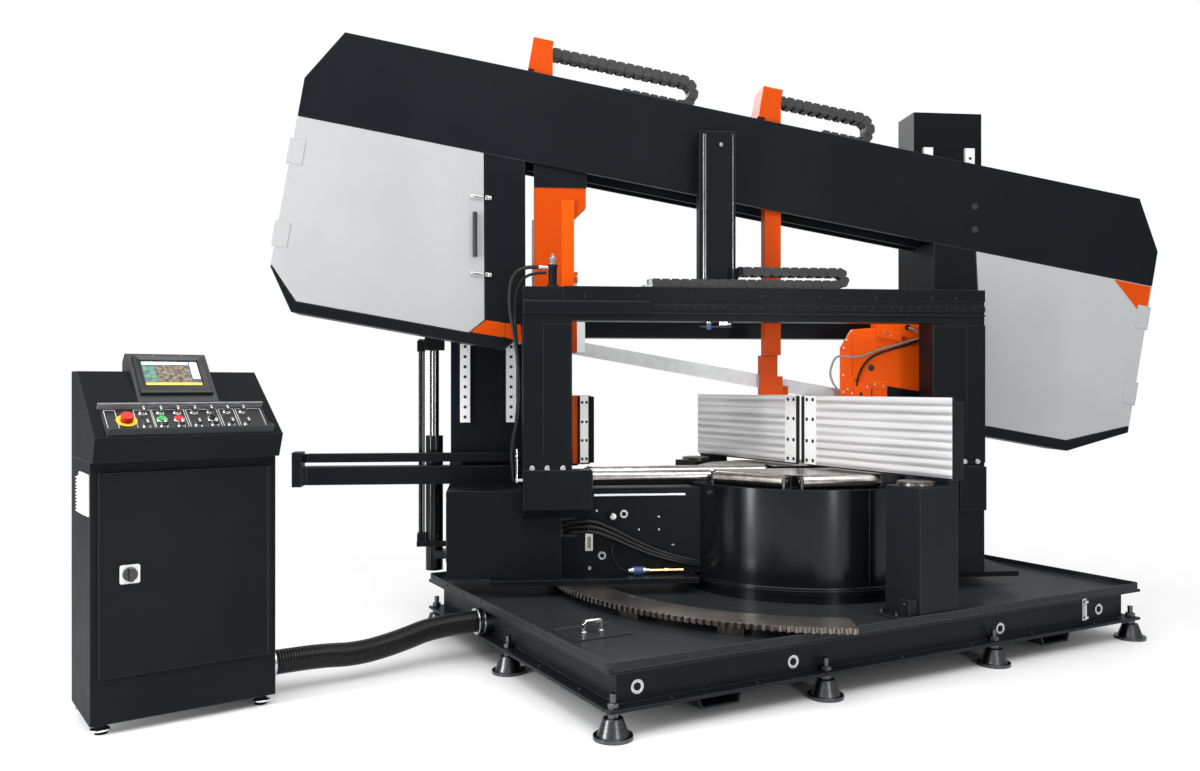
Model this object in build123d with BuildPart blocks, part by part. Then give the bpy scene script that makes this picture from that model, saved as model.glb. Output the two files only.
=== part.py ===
from build123d import *
import math
import os

os.makedirs("parts", exist_ok=True)

# Settings of the machine as it stands, in millimetres and degrees
mitre_angle = 22.5
cant_angle = 10.0
blade_height = 1197.0
table_height = 830.0
pivot_x = 780.7
pivot_y = -9.4
running_gap = 0.5

# Base frame, tray and feet
base_left = 1674.0
base_right = 1316.0
base_front = 985.0
base_back = 935.0
frame_bottom = 95.0
frame_height = 150.0
flange_thickness = 12.0
web_inset = 60.0
web_thickness = 14.0
cross_beam_width = 70.0
rim_height = 32.0
tray_sheet = 6.0
tray_corner = 30.0
fork_left = -1272.0
fork_right = 653.0
fork_width = 222.0
fork_depth = 62.0
fork_taper = 24.0
fork_wall = 8.0
foot_inset = 32.0
foot_radius = 72.0
foot_neck_radius = 36.0
foot_pad_height = 14.0
foot_cone_height = 60.0
foot_stud_radius = 12.0
foot_stud_top = 160.0
foot_nut_radius = 22.0
foot_nut_height = 20.0
hatch_x = -1470.0
hatch_y = -480.0
hatch_length = 260.0
hatch_width = 200.0
hatch_sheet = 5.0
hatch_lip = 18.0
hatch_grip_span = 78.0
hatch_grip_height = 42.0
hatch_grip_radius = 7.0

# Swivel drive: a sector of pins on the base and a pinion on the head
ring_pin_count = 255
ring_pin_pitch = 31.75
ring_pin_radius = 9.5
ring_root_drop = 4.5
ring_width = 180.0
ring_bottom = 285.0
ring_thickness = 22.0
ring_first_pin = -21
ring_last_pin = 58
ring_support_width = 110.0
ring_support_shares = (0.1, 0.35, 0.6, 0.8)
pinion_teeth = 15
pinion_space_scale = 1.35
pinion_tip_gap = 1.3
pinion_shaft_radius = 30.0
pinion_shaft_top = 430.0

# Turret
bearing_inner = 400.0
bearing_outer = 612.0
bearing_height = 38.0
drum_radius = 600.0
drum_wall = 18.0
drum_flange_radius = 622.0
drum_flange_height = 22.0
trench_half = 75.0
trench_floor = 495.0
trench_wall = 15.0
pad_drop = 4.0
pad_outline = (
    (-0.78, 0.0),
    (-0.78, -0.275),
    (-0.317, -0.757),
    (0.375, -0.727),
    (0.667, -0.55),
    (0.833, 0.0),
    (0.667, 0.6),
    (0.333, 0.833),
    (-0.333, 0.833),
    (-0.667, 0.6),
    (-0.833, 0.308),
    (-0.208, 0.308),
    (-0.208, 0.0),
)

# Arms and sole plates of the head
sole_thickness = 26.0
sole_lift = 2.0
sole_left = -1590.0
sole_front = -340.0
sole_right = 1000.0
arm_wall = 15.0
arm_drop = 80.0
girder_half = 200.0
pedestal_left = -1792.0
pedestal_right = -1253.0
pedestal_front = -280.0
right_beam_drop = 110.0
right_front_end = 812.0
right_front_back = -150.0
right_tie_height = 45.0

# Columns
column_front = 215.0
column_depth = 210.0
column_width = 385.0
column_wall = 18.0
column_top = 2735.0
right_column_left = 704.0
rail_width = 52.0
rail_thickness = 20.0
rail_inset = 48.0
left_rail_rise = 306.0
left_rail_top = 2660.0
right_rail_rise = 50.0
right_rail_top = 2541.0
tie_bottom = 1501.0
tie_height = 100.0
tie_depth = 120.0
tie_setback = 45.0

# Clamp portal, carriage and mast
portal_left = -1436.0
portal_right = 815.0
portal_front = -360.0
portal_leg_width = 229.0
portal_right_leg_width = 265.0
portal_leg_depth = 160.0
portal_beam_bottom = 1551.0
portal_beam_height = 158.0
portal_beam_depth = 110.0
portal_foot_drop = 125.0
portal_foot_rise = 102.0
portal_foot_reach = 16.0
portal_foot_overhang = 93.0
portal_foot_bevel = 46.0
portal_plate = 3.0
coupling_x = 140.0
coupling_y = 30.0
coupling_radius = 20.0
coupling_height = 104.0
mast_x = -488.0
mast_width = 180.0
mast_depth = 70.0
mast_top = 2485.0
mast_foot_width = 150.0
mast_foot_height = 26.0
carriage_wall = 10.0
carriage_height = 132.0
chain_height = 44.0
chain_loop_height = 104.0
chain_width = 72.0
clamp_chain_end = 134.0
clamp_chain_anchor = -830.0

# Rollers
roller_radius = 30.0
roller_axle_radius = 10.0
roller_axle_reach = 16.0
roller_left = -1090.0
roller_overlap = 95.0
rear_roller_pad_gap = 25.2
roller_offset = 140.0
roller_floor_gap = 1.0
turret_roller_inset = 70.0
turret_roller_span = 41.8
turret_roller_left_start = 203.2
turret_roller_right_start = 253.4
bracket_thickness = 12.0
bracket_width = 44.0
bracket_top_drop = 8.0

# Fixed vise
jaw_lift = 16.0
jaw_height = 349.0
jaw_front = 985.0
jaw_back = 935.0
blade_gap_half = 34.0
jaw_face = 12.0
jaw_backing = 15.0
jaw_backing_gap = 8.0
jaw_beam = 53.0
jaw_beam_gap_half = 150.0
jaw_beam_top_drop = 20.0
jaw_beam_lift = 8.0
post_cap_height = 18.0
wear_plate_width = 88.0
ridge_count = 9
ridge_depth = 2.0
post_left = -166.0
post_right = 61.0
post_length = 200.0
post_end_gap = 12.0
post_wall = 14.0
post_cap_radius = 80.0

# Moving vise
vise_pin_x = -1180.0
vise_pin_y = 135.0
vise_pin_radius = 22.0
vise_pin_rise = 12.0
vise_left = -2496.0
vise_barrel_right = -1262.0
vise_barrel_width = 96.0
vise_barrel_height = 90.0
vise_bore_width = 60.0
vise_guide_length = 60.0
vise_guide_height = 20.0
vise_ram_width = 44.0
vise_ram_height = 44.0
vise_hub_radius = 45.0
vise_hub_lift = 6.0
moving_jaw_back = 50.0
moving_jaw_thickness = 48.0
moving_jaw_near = 35.0
moving_jaw_far = 330.0
moving_jaw_lift = 10.0
knuckle_half = 45.0
knuckle_lift = 86.0
knuckle_height = 76.0

# Lift cylinders
lift_left_x = -1880.0
lift_left_y = 290.0
lift_right_x = 1000.0
lift_right_y = 480.0
lift_radius = 45.0
lift_rod_radius = 24.0
lift_bottom = 284.0
lift_top = 985.0
lift_rod_bottom = 862.0
lift_rod_left_rise = 388.0
lift_rod_right_rise = 703.0
lift_bracket_height = 40.0
lift_floor = 9.0
lift_bracket_bottom = 345.0

# Saw bow, along its own length and height from the teeth above the swivel axis
bow_left = -2691.0
bow_right = 1715.0
bow_top = 1315.0
bow_front = -140.0
bow_back = 185.0
band_bottom = 880.0
band_chamfer_length = 147.0
band_chamfer_height = 253.0
bow_skin = 15.0
case_wall = 12.0
case_setback = 1.0
case_back = 66.0
case_bottom = -45.0
left_case_bevel = 131.0
left_case_bevel_top = 150.0
left_case_lip_end = -1540.0
left_case_end = -1450.0
left_case_end_n = 67.0
left_case_top_end = -1596.0
left_door_bevel = 146.0
left_door_bevel_top = 164.0
left_door_end = -1719.0
left_door_tip = -1655.0
left_door_tip_n = 82.0
left_door_top_end = -1799.0
door_bottom = 9.0
right_case_top_end = 511.0
right_case_end = 655.0
right_case_end_n = 60.0
right_case_lip_start = 700.0
right_case_bevel_start = 1400.0
right_case_bevel_top = 105.0
right_door_top_end = 741.0
right_door_low_end = 940.0
right_door_bevel_start = 1386.0
right_door_bevel_top = 142.0
door_gap = 3.0
spine_wall = 12.0
spine_inset = 90.0
spine_leg_inset = 20.0
spine_bevel = 90.0
spine_low = 120.0
arm_rail_low = 1000.0
arm_rail_high = 1230.0
arm_rail_height = 40.0
arm_rail_reach = 26.0
top_slot_front = -122.0
top_slot_back = -38.0
shoe_width = 84.0
shoe_height = 200.0
shoe_lift = 600.0
left_shoe_rise = 553.0
right_shoe_rise = 103.0

# Band wheels and blade
wheel_radius = 440.0
wheel_width = 80.0
wheel_rim = 36.0
wheel_web = 22.0
wheel_hub_radius = 95.0
wheel_hub_width = 100.0
wheel_hole_radius = 70.0
wheel_hole_circle = 250.0
wheel_hole_count = 6
wheel_n = 475.0
idler_s = -2191.0
drive_s = 1214.0
axle_radius = 36.0
blade_width = 68.0
blade_thickness = 1.6
blade_wheel_gap = 0.4
blade_left_guide = -1320.0
blade_right_guide = 200.0
blade_run_gap = 0.3
blade_flat = 120.0
tension_half_length = 85.0
tension_half_height = 80.0
tension_travel = 25.0
gearbox_radius = 150.0
gearbox_depth = 150.0
motor_radius = 120.0
motor_depth = 260.0
hinge_radius = 9.0
hinge_reach = 7.0
hinge_length = 120.0
hinge_low = 250.0
hinge_high = 650.0
hinge_leaf = 2.0
hinge_relief = 3.0

# Guide arms
arm_front = -118.0
arm_back = -42.0
guide_back = 20.0
left_mast_x = -1328.0
left_mast_width = 90.0
right_mast_x = -177.0
right_mast_width = 81.0
arm_carriage_length = 144.0
arm_carriage_bottom = 985.0
arm_carriage_top = 1285.0
left_carriage_s = -1548.0
right_carriage_s = -380.0
arm_head_bottom = 1335.0
arm_head_top = 1490.0
arm_head_length = 100.0
arm_head_overlap = 40.0
left_head_s = -1610.0
right_head_s = -440.0
guide_slot_half = 1.5
guide_slot_top = 74.0
guide_block_front = -60.0
guide_slot_low = -60.0
left_guide_left = -1159.0
left_guide_right = -1119.0
left_guide_bottom_rise = 214.0
left_guide_top_rise = 388.0
left_leg_width = 81.0
bracket_rise = 503.0
bracket_height = 515.0
housing_height = 135.0
bracket_tab = -1120.0
bracket_tab_height = 92.0
bracket_right = -1179.0
bracket_bevel_height = 58.0
right_guide_right = -110.0
right_guide_nose = -75.0
right_guide_nose_front = -40.0
right_guide_bottom_rise = 2.0
right_guide_nose_height = 45.0
right_guide_height = 95.0
right_mast_rise = 203.0
left_chain_end = -790.0
left_chain_anchor = -1180.0
right_chain_end = 144.0
right_chain_anchor = -130.0
arm_chain_front = -32.0
arm_chain_width = 86.0
arm_chain_height = 48.0

# Blade shroud
shroud_front = -60.0
shroud_back = -15.0
shroud_left = 205.0
shroud_seat = 0.3
shroud_low_drop = 7.0
shroud_lip_drop = 47.0
shroud_lip_length = 160.0
shroud_side_rise = 243.0
shroud_bevel = 57.0
shroud_shoulder_rise = 338.0
shroud_top_rise = 368.0

# Console
console_left = -3266.0
console_right = -2610.0
console_front = -77.0
console_back = 307.0
console_turn = 7.7
console_bottom = 40.0
console_top = 975.0
console_sheet = 4.0
console_foot_radius = 22.0
desk_reach = 90.0
desk_foot_reach = 45.0
desk_ledge = 7.0
desk_lip_top = 1066.0
desk_crown_front = 187.0
desk_top = 1301.0
door_margin_side = 26.0
door_margin_low = 166.0
door_margin_high = 40.0
door_sheet = 14.0
switch_drop = 365.0
switch_inset = 128.0
switch_radius = 24.0
switch_depth = 16.0
switch_grip = 14.0
screen_left = -3088.0
screen_width = 290.0
screen_start = 215.0
screen_lean = 42.0
screen_height = 275.0
screen_depth = 42.0
screen_fall = 32.0
button_radius = 14.0
button_rise = 10.0
button_stem = 14.0
button_crown = 2.0
stop_mushroom_radius = 22.0
stop_mushroom_rise = 26.0
button_row = 95.0

# Hose from the console to the base
hose_radius = 46.0
hose_rib = 4.0
hose_bore = 42.0
hose_pitch = 12.0
hose_port_radius = 58.0
hose_port_reach = 76.0
hose_console_reach = 30.0
hose_console_y = 45.0
hose_console_z = 130.0
hose_base_y = 250.0
hose_base_z = 170.0
hose_first_run = 180.0
hose_dip_run = 175.0
hose_dip_side = 22.0
hose_dip = 22.0
hose_last_run = 190.0
hose_rise_run = 180.0
hose_rise_side = 45.0
hose_rise = 37.0

# Levels and lengths that follow from the sizes above
frame_top = frame_bottom + frame_height
tray_floor = frame_top + tray_sheet
base_mid_x = (base_right - base_left) / 2
base_mid_y = (base_back - base_front) / 2
base_length = base_right + base_left
base_width = base_back + base_front
ring_top = ring_bottom + ring_thickness
ring_radius = ring_pin_count * ring_pin_pitch / (2 * math.pi)
pinion_radius = pinion_teeth * ring_pin_pitch / (2 * math.pi)
pinion_distance = ring_radius + pinion_radius
sole_bottom = ring_top + sole_lift
sole_top = sole_bottom + sole_thickness
drum_foot = tray_floor + bearing_height + running_gap
column_back = column_front + column_depth
right_column_right = right_column_left + column_width
left_column_right = pedestal_left + column_width
portal_leg_back = portal_front + portal_leg_depth
portal_beam_back = portal_front + portal_beam_depth
portal_beam_top = portal_beam_bottom + portal_beam_height
arm_top = table_height - arm_drop
right_beam_top = arm_top - right_beam_drop
roller_z = table_height - roller_radius
drum_top = roller_z - roller_radius - roller_floor_gap
roller_right = roller_overlap - drum_radius
rear_roller_right = drum_radius * pad_outline[-1][0] - rear_roller_pad_gap
pad_top = table_height - pad_drop
post_top = table_height - post_cap_height
jaw_bottom = table_height + jaw_lift
jaw_top = jaw_bottom + jaw_height
jaw_beam_bottom = table_height + jaw_beam_lift
vise_hub_bottom = table_height + vise_hub_lift
moving_jaw_bottom = table_height + moving_jaw_lift
knuckle_bottom = table_height + knuckle_lift
vise_pin_top = knuckle_bottom + knuckle_height + vise_pin_rise
lift_rod_left_top = blade_height + lift_rod_left_rise
lift_rod_right_top = blade_height + lift_rod_right_rise
left_shoe_bottom = blade_height + left_shoe_rise
right_shoe_bottom = blade_height + right_shoe_rise
bracket_bottom = blade_height + bracket_rise
bracket_top = bracket_bottom + bracket_height
right_mast_foot = blade_height + right_mast_rise
housing_top = bracket_top + housing_height
left_guide_bottom = blade_height + left_guide_bottom_rise
left_guide_top = blade_height + left_guide_top_rise
right_guide_bottom = blade_height + right_guide_bottom_rise
shroud_low = blade_height - shroud_low_drop
shroud_lip = blade_height - shroud_lip_drop
shroud_side = blade_height + shroud_side_rise
shroud_shoulder = blade_height + shroud_shoulder_rise
shroud_top = blade_height + shroud_top_rise
jaw_back_x = jaw_face + jaw_backing + jaw_beam
vise_ram_bottom = arm_top + vise_barrel_height + vise_guide_height + running_gap
jaw_face_x = moving_jaw_back + moving_jaw_thickness
blade_mid = blade_width / 2
band_left_chamfer = bow_left + band_chamfer_length
band_right_chamfer = bow_right - band_chamfer_length
band_shoulder = bow_top - band_chamfer_height
panel_front = console_front - desk_reach + desk_ledge
desk_slope = math.degrees(math.atan2(desk_top - desk_lip_top, desk_crown_front - panel_front))

# Places of the three bodies that carry the rest
BASE = Location((pivot_x, pivot_y, 0))
HEAD = BASE * Location((0, 0, 0), (0, 0, -mitre_angle))
CONSOLE_STAND = Location((console_left, console_front, 0), (0, 0, console_turn))
CONSOLE_STAND = CONSOLE_STAND * Location((-console_left, -console_front, 0))
CONSOLE = BASE * CONSOLE_STAND
CANT = Location((0, 0, blade_height), (0, cant_angle, 0))
BOW = HEAD * CANT
UPRIGHT = CANT.inverse()
JAW = HEAD * Location((vise_pin_x, vise_pin_y, 0), (0, 0, mitre_angle))


def block(x0, x1, y0, y1, z0, z1, mode=Mode.ADD):
    """A box between two planes on each axis."""
    with Locations(((x0 + x1) / 2, (y0 + y1) / 2, (z0 + z1) / 2)):
        Box(x1 - x0, y1 - y0, z1 - z0, mode=mode)


def rod(start, direction, radius, length, mode=Mode.ADD):
    """A round bar from a point along a direction."""
    with BuildSketch(Plane(origin=start, z_dir=direction)) as section:
        Circle(radius)
    extrude(section.sketch, amount=length, mode=mode)


def sheet(points, y0, y1, mode=Mode.ADD, inset=0.0):
    """An outline in the X-Z plane with its thickness along Y."""
    with BuildSketch(Plane.XZ.offset(-y1)) as outline:
        Polygon(*points, align=None)
        if inset:
            offset(amount=-inset, kind=Kind.INTERSECTION)
    extrude(outline.sketch, amount=y1 - y0, mode=mode)


def write(piece, node, frame):
    """Stand a finished piece in its place on the machine and save it."""
    placed = piece.part.moved(frame)
    placed.label = node
    export_step(placed, "parts/" + node + ".step")


# Levelling feet stand along both long sides and in the middle of the ends
foot_span = (base_length - 2 * foot_inset) / 3
foot_points = []
for column in range(4):
    foot_x = -base_left + foot_inset + column * foot_span
    foot_points.append((foot_x, -base_front + foot_inset))
    foot_points.append((foot_x, base_back - foot_inset))
    if column in (0, 3):
        foot_points.append((foot_x, base_mid_y))

# Base frame: channel sections round the edge, cross beams and fork pockets
with BuildPart() as base_frame:
    with Locations((base_mid_x, base_mid_y, frame_bottom + flange_thickness / 2)):
        Box(base_length, base_width, flange_thickness)
    with Locations((base_mid_x, base_mid_y, frame_top - flange_thickness / 2)):
        Box(base_length, base_width, flange_thickness)
    web_length = base_length - 2 * web_inset
    web_width = base_width - 2 * web_inset
    with Locations((base_mid_x, base_mid_y, frame_bottom + frame_height / 2)):
        Box(web_length, web_width, frame_height)
        Box(
            web_length - 2 * web_thickness,
            web_width - 2 * web_thickness,
            frame_height,
            mode=Mode.SUBTRACT,
        )
    for beam_x in (-base_left / 2, 0, base_right / 2):
        block(
            beam_x - cross_beam_width / 2,
            beam_x + cross_beam_width / 2,
            -base_front + web_inset + web_thickness,
            base_back - web_inset - web_thickness,
            frame_bottom,
            frame_top,
        )
    for pocket_x in (fork_left, fork_right):
        for shrink, mode in ((0, Mode.ADD), (fork_wall, Mode.SUBTRACT)):
            with BuildSketch(Plane.XZ.offset(-base_back + web_inset)) as pocket:
                Polygon(
                    (pocket_x + shrink, frame_bottom),
                    (pocket_x + fork_width - shrink, frame_bottom),
                    (pocket_x + fork_width - fork_taper - shrink, frame_bottom - fork_depth + shrink),
                    (pocket_x + fork_taper + shrink, frame_bottom - fork_depth + shrink),
                    align=None,
                )
            extrude(pocket.sketch, amount=web_width, mode=mode)
    with Locations(*[(x, y, frame_bottom + flange_thickness / 2) for x, y in foot_points]):
        Cylinder(foot_stud_radius + running_gap, flange_thickness, mode=Mode.SUBTRACT)
    port_start = (-base_left, hose_base_y, hose_base_z)
    rod(port_start, (1, 0, 0), hose_bore, web_inset + web_thickness, Mode.SUBTRACT)
write(base_frame, "base_frame", BASE)

# Drip tray: floor, rim and the opening under the hatch
with BuildPart() as drip_tray:
    with BuildSketch(Plane.XY.offset(frame_top)) as tray_outline:
        with Locations((base_mid_x, base_mid_y)):
            RectangleRounded(base_length, base_width, tray_corner)
    extrude(tray_outline.sketch, amount=rim_height)
    with BuildSketch(Plane.XY.offset(tray_floor)) as tray_inside:
        with Locations((base_mid_x, base_mid_y)):
            RectangleRounded(
                base_length - 2 * tray_sheet, base_width - 2 * tray_sheet, tray_corner - tray_sheet
            )
    extrude(tray_inside.sketch, amount=rim_height, mode=Mode.SUBTRACT)
    with Locations((hatch_x, hatch_y, frame_top)):
        Box(
            hatch_length - 2 * hatch_lip,
            hatch_width - 2 * hatch_lip,
            4 * tray_sheet,
            mode=Mode.SUBTRACT,
        )
write(drip_tray, "drip_tray", BASE)

# Levelling feet: pad, cone, stud and the two nuts that grip the flange
with BuildPart() as levelling_feet:
    with Locations(*foot_points):
        Cylinder(foot_radius, foot_pad_height, align=(Align.CENTER, Align.CENTER, Align.MIN))
    with Locations(*[(x, y, foot_pad_height) for x, y in foot_points]):
        Cone(
            foot_radius - foot_pad_height,
            foot_neck_radius,
            foot_cone_height,
            align=(Align.CENTER, Align.CENTER, Align.MIN),
        )
        Cylinder(
            foot_stud_radius,
            foot_stud_top - foot_pad_height,
            align=(Align.CENTER, Align.CENTER, Align.MIN),
        )
    for nut_z in (frame_bottom - foot_nut_height, frame_bottom + flange_thickness):
        with BuildSketch(Plane.XY.offset(nut_z)) as nuts:
            with Locations(*foot_points):
                RegularPolygon(foot_nut_radius, 6)
        extrude(nuts.sketch, amount=foot_nut_height)
write(levelling_feet, "levelling_feet", BASE)

# Hatch lid with its bent handle, hinged along its back edge
with BuildPart() as tray_hatch:
    with Locations((hatch_x, hatch_y, tray_floor + running_gap + hatch_sheet / 2)):
        Box(hatch_length, hatch_width, hatch_sheet)
    lid_top = tray_floor + running_gap + hatch_sheet
    for side in (-1, 1):
        rod(
            (hatch_x + side * hatch_grip_span / 2, hatch_y, lid_top),
            (0, 0, 1),
            hatch_grip_radius,
            hatch_grip_height,
        )
    rod(
        (hatch_x - hatch_grip_span / 2 - hatch_grip_radius, hatch_y, lid_top + hatch_grip_height),
        (1, 0, 0),
        hatch_grip_radius,
        hatch_grip_span + 2 * hatch_grip_radius,
    )
    rod(
        (hatch_x - hatch_length / 2, hatch_y + hatch_width / 2, lid_top),
        (1, 0, 0),
        hatch_sheet,
        hatch_length,
    )
write(tray_hatch, "tray_hatch", BASE)

# Swivel ring: a flat sector whose outer edge carries the pins
ring_rest = 180.0 - mitre_angle
ring_step = 360.0 / ring_pin_count
ring_angles = [ring_rest + k * ring_step for k in range(ring_first_pin, ring_last_pin + 1)]
ring_start = ring_angles[0] - ring_step / 2
ring_end = ring_angles[-1] + ring_step / 2
with BuildPart() as swivel_ring:
    with BuildSketch(Plane.XY.offset(ring_bottom)) as sector:
        with BuildLine():
            outer = CenterArc((0, 0), ring_radius - ring_root_drop, ring_start, ring_end - ring_start)
            inner = CenterArc((0, 0), ring_radius - ring_width, ring_start, ring_end - ring_start)
            Line(outer @ 0, inner @ 0)
            Line(outer @ 1, inner @ 1)
        make_face()
        with Locations(
            *[
                (ring_radius * math.cos(math.radians(a)), ring_radius * math.sin(math.radians(a)))
                for a in ring_angles
            ]
        ):
            Circle(ring_pin_radius)
    extrude(sector.sketch, amount=ring_thickness)
    support_mid = ring_radius - ring_width / 2
    for share in ring_support_shares:
        support_angle = math.radians(ring_start + share * (ring_end - ring_start))
        with BuildSketch(Plane.XY.offset(tray_floor)) as support:
            with Locations(
                Location(
                    (support_mid * math.cos(support_angle), support_mid * math.sin(support_angle)),
                    math.degrees(support_angle),
                )
            ):
                Rectangle(ring_support_width, ring_support_width)
        extrude(support.sketch, amount=ring_bottom - tray_floor)
write(swivel_ring, "swivel_ring", BASE)

# Slew bearing between the tray floor and the turret
with BuildPart() as slew_bearing:
    with BuildSketch(Plane.XY.offset(tray_floor)) as bearing_ring:
        Circle(bearing_outer)
        Circle(bearing_inner, mode=Mode.SUBTRACT)
    extrude(bearing_ring.sketch, amount=bearing_height)
write(slew_bearing, "slew_bearing", BASE)

# Posts of the fixed vise, each in one piece with its half of the jaw beam
with BuildPart() as jaw_posts:
    for side, reach in ((-1, jaw_front), (1, jaw_back)):
        far = side * (reach - post_end_gap)
        near = side * (reach - post_end_gap - post_length)
        y0 = min(near, far)
        y1 = max(near, far)
        block(post_left, post_right, y0, y1, tray_floor, post_top)
        block(
            post_left + post_wall,
            post_right - post_wall,
            y0 + post_wall,
            y1 - post_wall,
            tray_floor,
            post_top - post_wall,
            Mode.SUBTRACT,
        )
        block(jaw_face, post_right, y0, y1, post_top, jaw_beam_bottom)
        rod(
            (post_left + post_cap_radius, (y0 + y1) / 2, post_top),
            (0, 0, 1),
            post_cap_radius,
            table_height - post_top,
        )
        beam_near = side * jaw_beam_gap_half
        back_near = side * (blade_gap_half + jaw_backing_gap)
        back_far = side * reach
        block(
            jaw_face + jaw_backing,
            jaw_back_x,
            min(beam_near, back_far),
            max(beam_near, back_far),
            jaw_beam_bottom,
            jaw_top - jaw_beam_top_drop,
        )
        block(
            jaw_face,
            jaw_face + jaw_backing,
            min(back_near, back_far),
            max(back_near, back_far),
            jaw_beam_bottom,
            jaw_top,
        )
write(jaw_posts, "jaw_posts", BASE)

# Ridged face plates of the fixed vise
wear_end = blade_gap_half + wear_plate_width
ridge_pitch = (jaw_top - jaw_bottom) / ridge_count
with BuildPart() as fixed_jaw_plates:
    ridge_points = [(jaw_face, jaw_bottom)]
    for ridge in range(ridge_count):
        ridge_z = jaw_bottom + ridge * ridge_pitch
        ridge_points.append((ridge_depth, ridge_z))
        ridge_points.append((0, ridge_z + ridge_pitch / 4))
        ridge_points.append((0, ridge_z + 3 * ridge_pitch / 4))
    ridge_points.append((ridge_depth, jaw_top))
    ridge_points.append((jaw_face, jaw_top))
    sheet(ridge_points, -jaw_front, -wear_end)
    sheet(ridge_points, wear_end, jaw_back)
write(fixed_jaw_plates, "fixed_jaw_plates", BASE)

# Wear plates on both sides of the blade gap
with BuildPart() as jaw_wear_plates:
    for side in (-1, 1):
        block(
            0,
            jaw_face,
            min(side * blade_gap_half, side * wear_end),
            max(side * blade_gap_half, side * wear_end),
            jaw_bottom,
            jaw_top,
        )
write(jaw_wear_plates, "jaw_wear_plates", BASE)

# Console cabinet: a sheet box on feet, open at the front for its door
door_left = console_left + door_margin_side
door_right = console_right - door_margin_side
door_low = console_bottom + door_margin_low
door_high = console_top - door_margin_high
with BuildPart() as console_cabinet:
    block(console_left, console_right, console_front, console_back, console_bottom, console_top)
    block(
        console_left + console_sheet,
        console_right - console_sheet,
        console_front + console_sheet,
        console_back - console_sheet,
        console_bottom + console_sheet,
        console_top,
        Mode.SUBTRACT,
    )
    block(
        door_left + door_margin_side,
        door_right - door_margin_side,
        console_front,
        console_front + console_sheet,
        door_low + door_margin_side,
        door_high - door_margin_side,
        Mode.SUBTRACT,
    )
    for corner_x in (console_left + 2 * console_foot_radius, console_right - 2 * console_foot_radius):
        for corner_y in (console_front + 2 * console_foot_radius, console_back - 2 * console_foot_radius):
            rod((corner_x, corner_y, 0), (0, 0, 1), console_foot_radius, console_bottom)
    hose_exit = (console_right - console_sheet, hose_console_y, hose_console_z)
    rod(hose_exit, (1, 0, 0), hose_bore, console_sheet, Mode.SUBTRACT)
write(console_cabinet, "console_cabinet", CONSOLE)

# Sloping operating desk on top of the cabinet, with a hole for each control
desk_profile = [
    (console_front, console_top),
    (console_front - desk_foot_reach, console_top),
    (console_front - desk_reach, desk_lip_top),
    (panel_front, desk_lip_top),
    (desk_crown_front, desk_top),
    (console_back, desk_top),
    (console_back, console_top),
]
slope_rad = math.radians(desk_slope)


def desk_plane(x, along):
    """A plane on the sloping panel, at a distance up the slope from its lip."""
    return Plane(
        origin=(
            x,
            panel_front + along * math.cos(slope_rad),
            desk_lip_top + along * math.sin(slope_rad),
        ),
        x_dir=(1, 0, 0),
        z_dir=(0, -math.sin(slope_rad), math.cos(slope_rad)),
    )


control_pitch = (console_right - console_left) / 11
stop_mushroom_x = console_left + 2 * control_pitch
start_x = console_left + 4 * control_pitch
halt_x = console_left + 5 * control_pitch
selector_x = console_left + 7 * control_pitch
with BuildPart() as console_desk:
    with BuildSketch(Plane.YZ.offset(console_left)) as desk_side:
        Polygon(*desk_profile, align=None)
    extrude(desk_side.sketch, amount=console_right - console_left)
    with BuildSketch(Plane.YZ.offset(console_left + console_sheet)) as desk_hollow:
        Polygon(*desk_profile, align=None)
        offset(amount=-console_sheet, kind=Kind.INTERSECTION)
    extrude(desk_hollow.sketch, amount=console_right - console_left - 2 * console_sheet, mode=Mode.SUBTRACT)
    block(
        console_left + 2 * console_sheet,
        console_right - 2 * console_sheet,
        console_front + 2 * console_sheet,
        console_back - 2 * console_sheet,
        console_top,
        console_top + console_sheet,
        Mode.SUBTRACT,
    )
    for hole_x in (stop_mushroom_x, start_x, halt_x, selector_x):
        with BuildSketch(desk_plane(hole_x, button_row)) as control_hole:
            Circle(button_radius + running_gap)
        extrude(control_hole.sketch, amount=-2 * console_sheet, mode=Mode.SUBTRACT)
write(console_desk, "console_desk", CONSOLE)

# Screen housing: a hood on the upper part of the slope, closed down to the desk's top behind
lean_rad = math.radians(screen_lean)
hood_foot = desk_plane(screen_left, screen_start).origin
hood_brow = hood_foot + Vector(0, math.cos(lean_rad), math.sin(lean_rad)) * screen_height
hood_outline = [
    (hood_foot.Y, hood_foot.Z),
    (hood_brow.Y, hood_brow.Z),
    (hood_brow.Y + screen_depth, hood_brow.Z),
    (console_back, hood_brow.Z - screen_fall),
    (console_back, desk_top),
    (desk_crown_front, desk_top),
]
with BuildPart() as screen_unit:
    with BuildSketch(Plane.YZ.offset(screen_left)) as hood_side:
        Polygon(*hood_outline, align=None)
    extrude(hood_side.sketch, amount=screen_width)
write(screen_unit, "screen_unit", CONSOLE)

# Cabinet door with its hinge barrel on the right edge
with BuildPart() as console_door:
    block(
        door_left,
        door_right,
        console_front - door_sheet,
        console_front - running_gap,
        door_low,
        door_high,
    )
    rod(
        (door_right, console_front - door_sheet, door_low),
        (0, 0, 1),
        hinge_radius,
        door_high - door_low,
    )
write(console_door, "console_door", CONSOLE)

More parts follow.
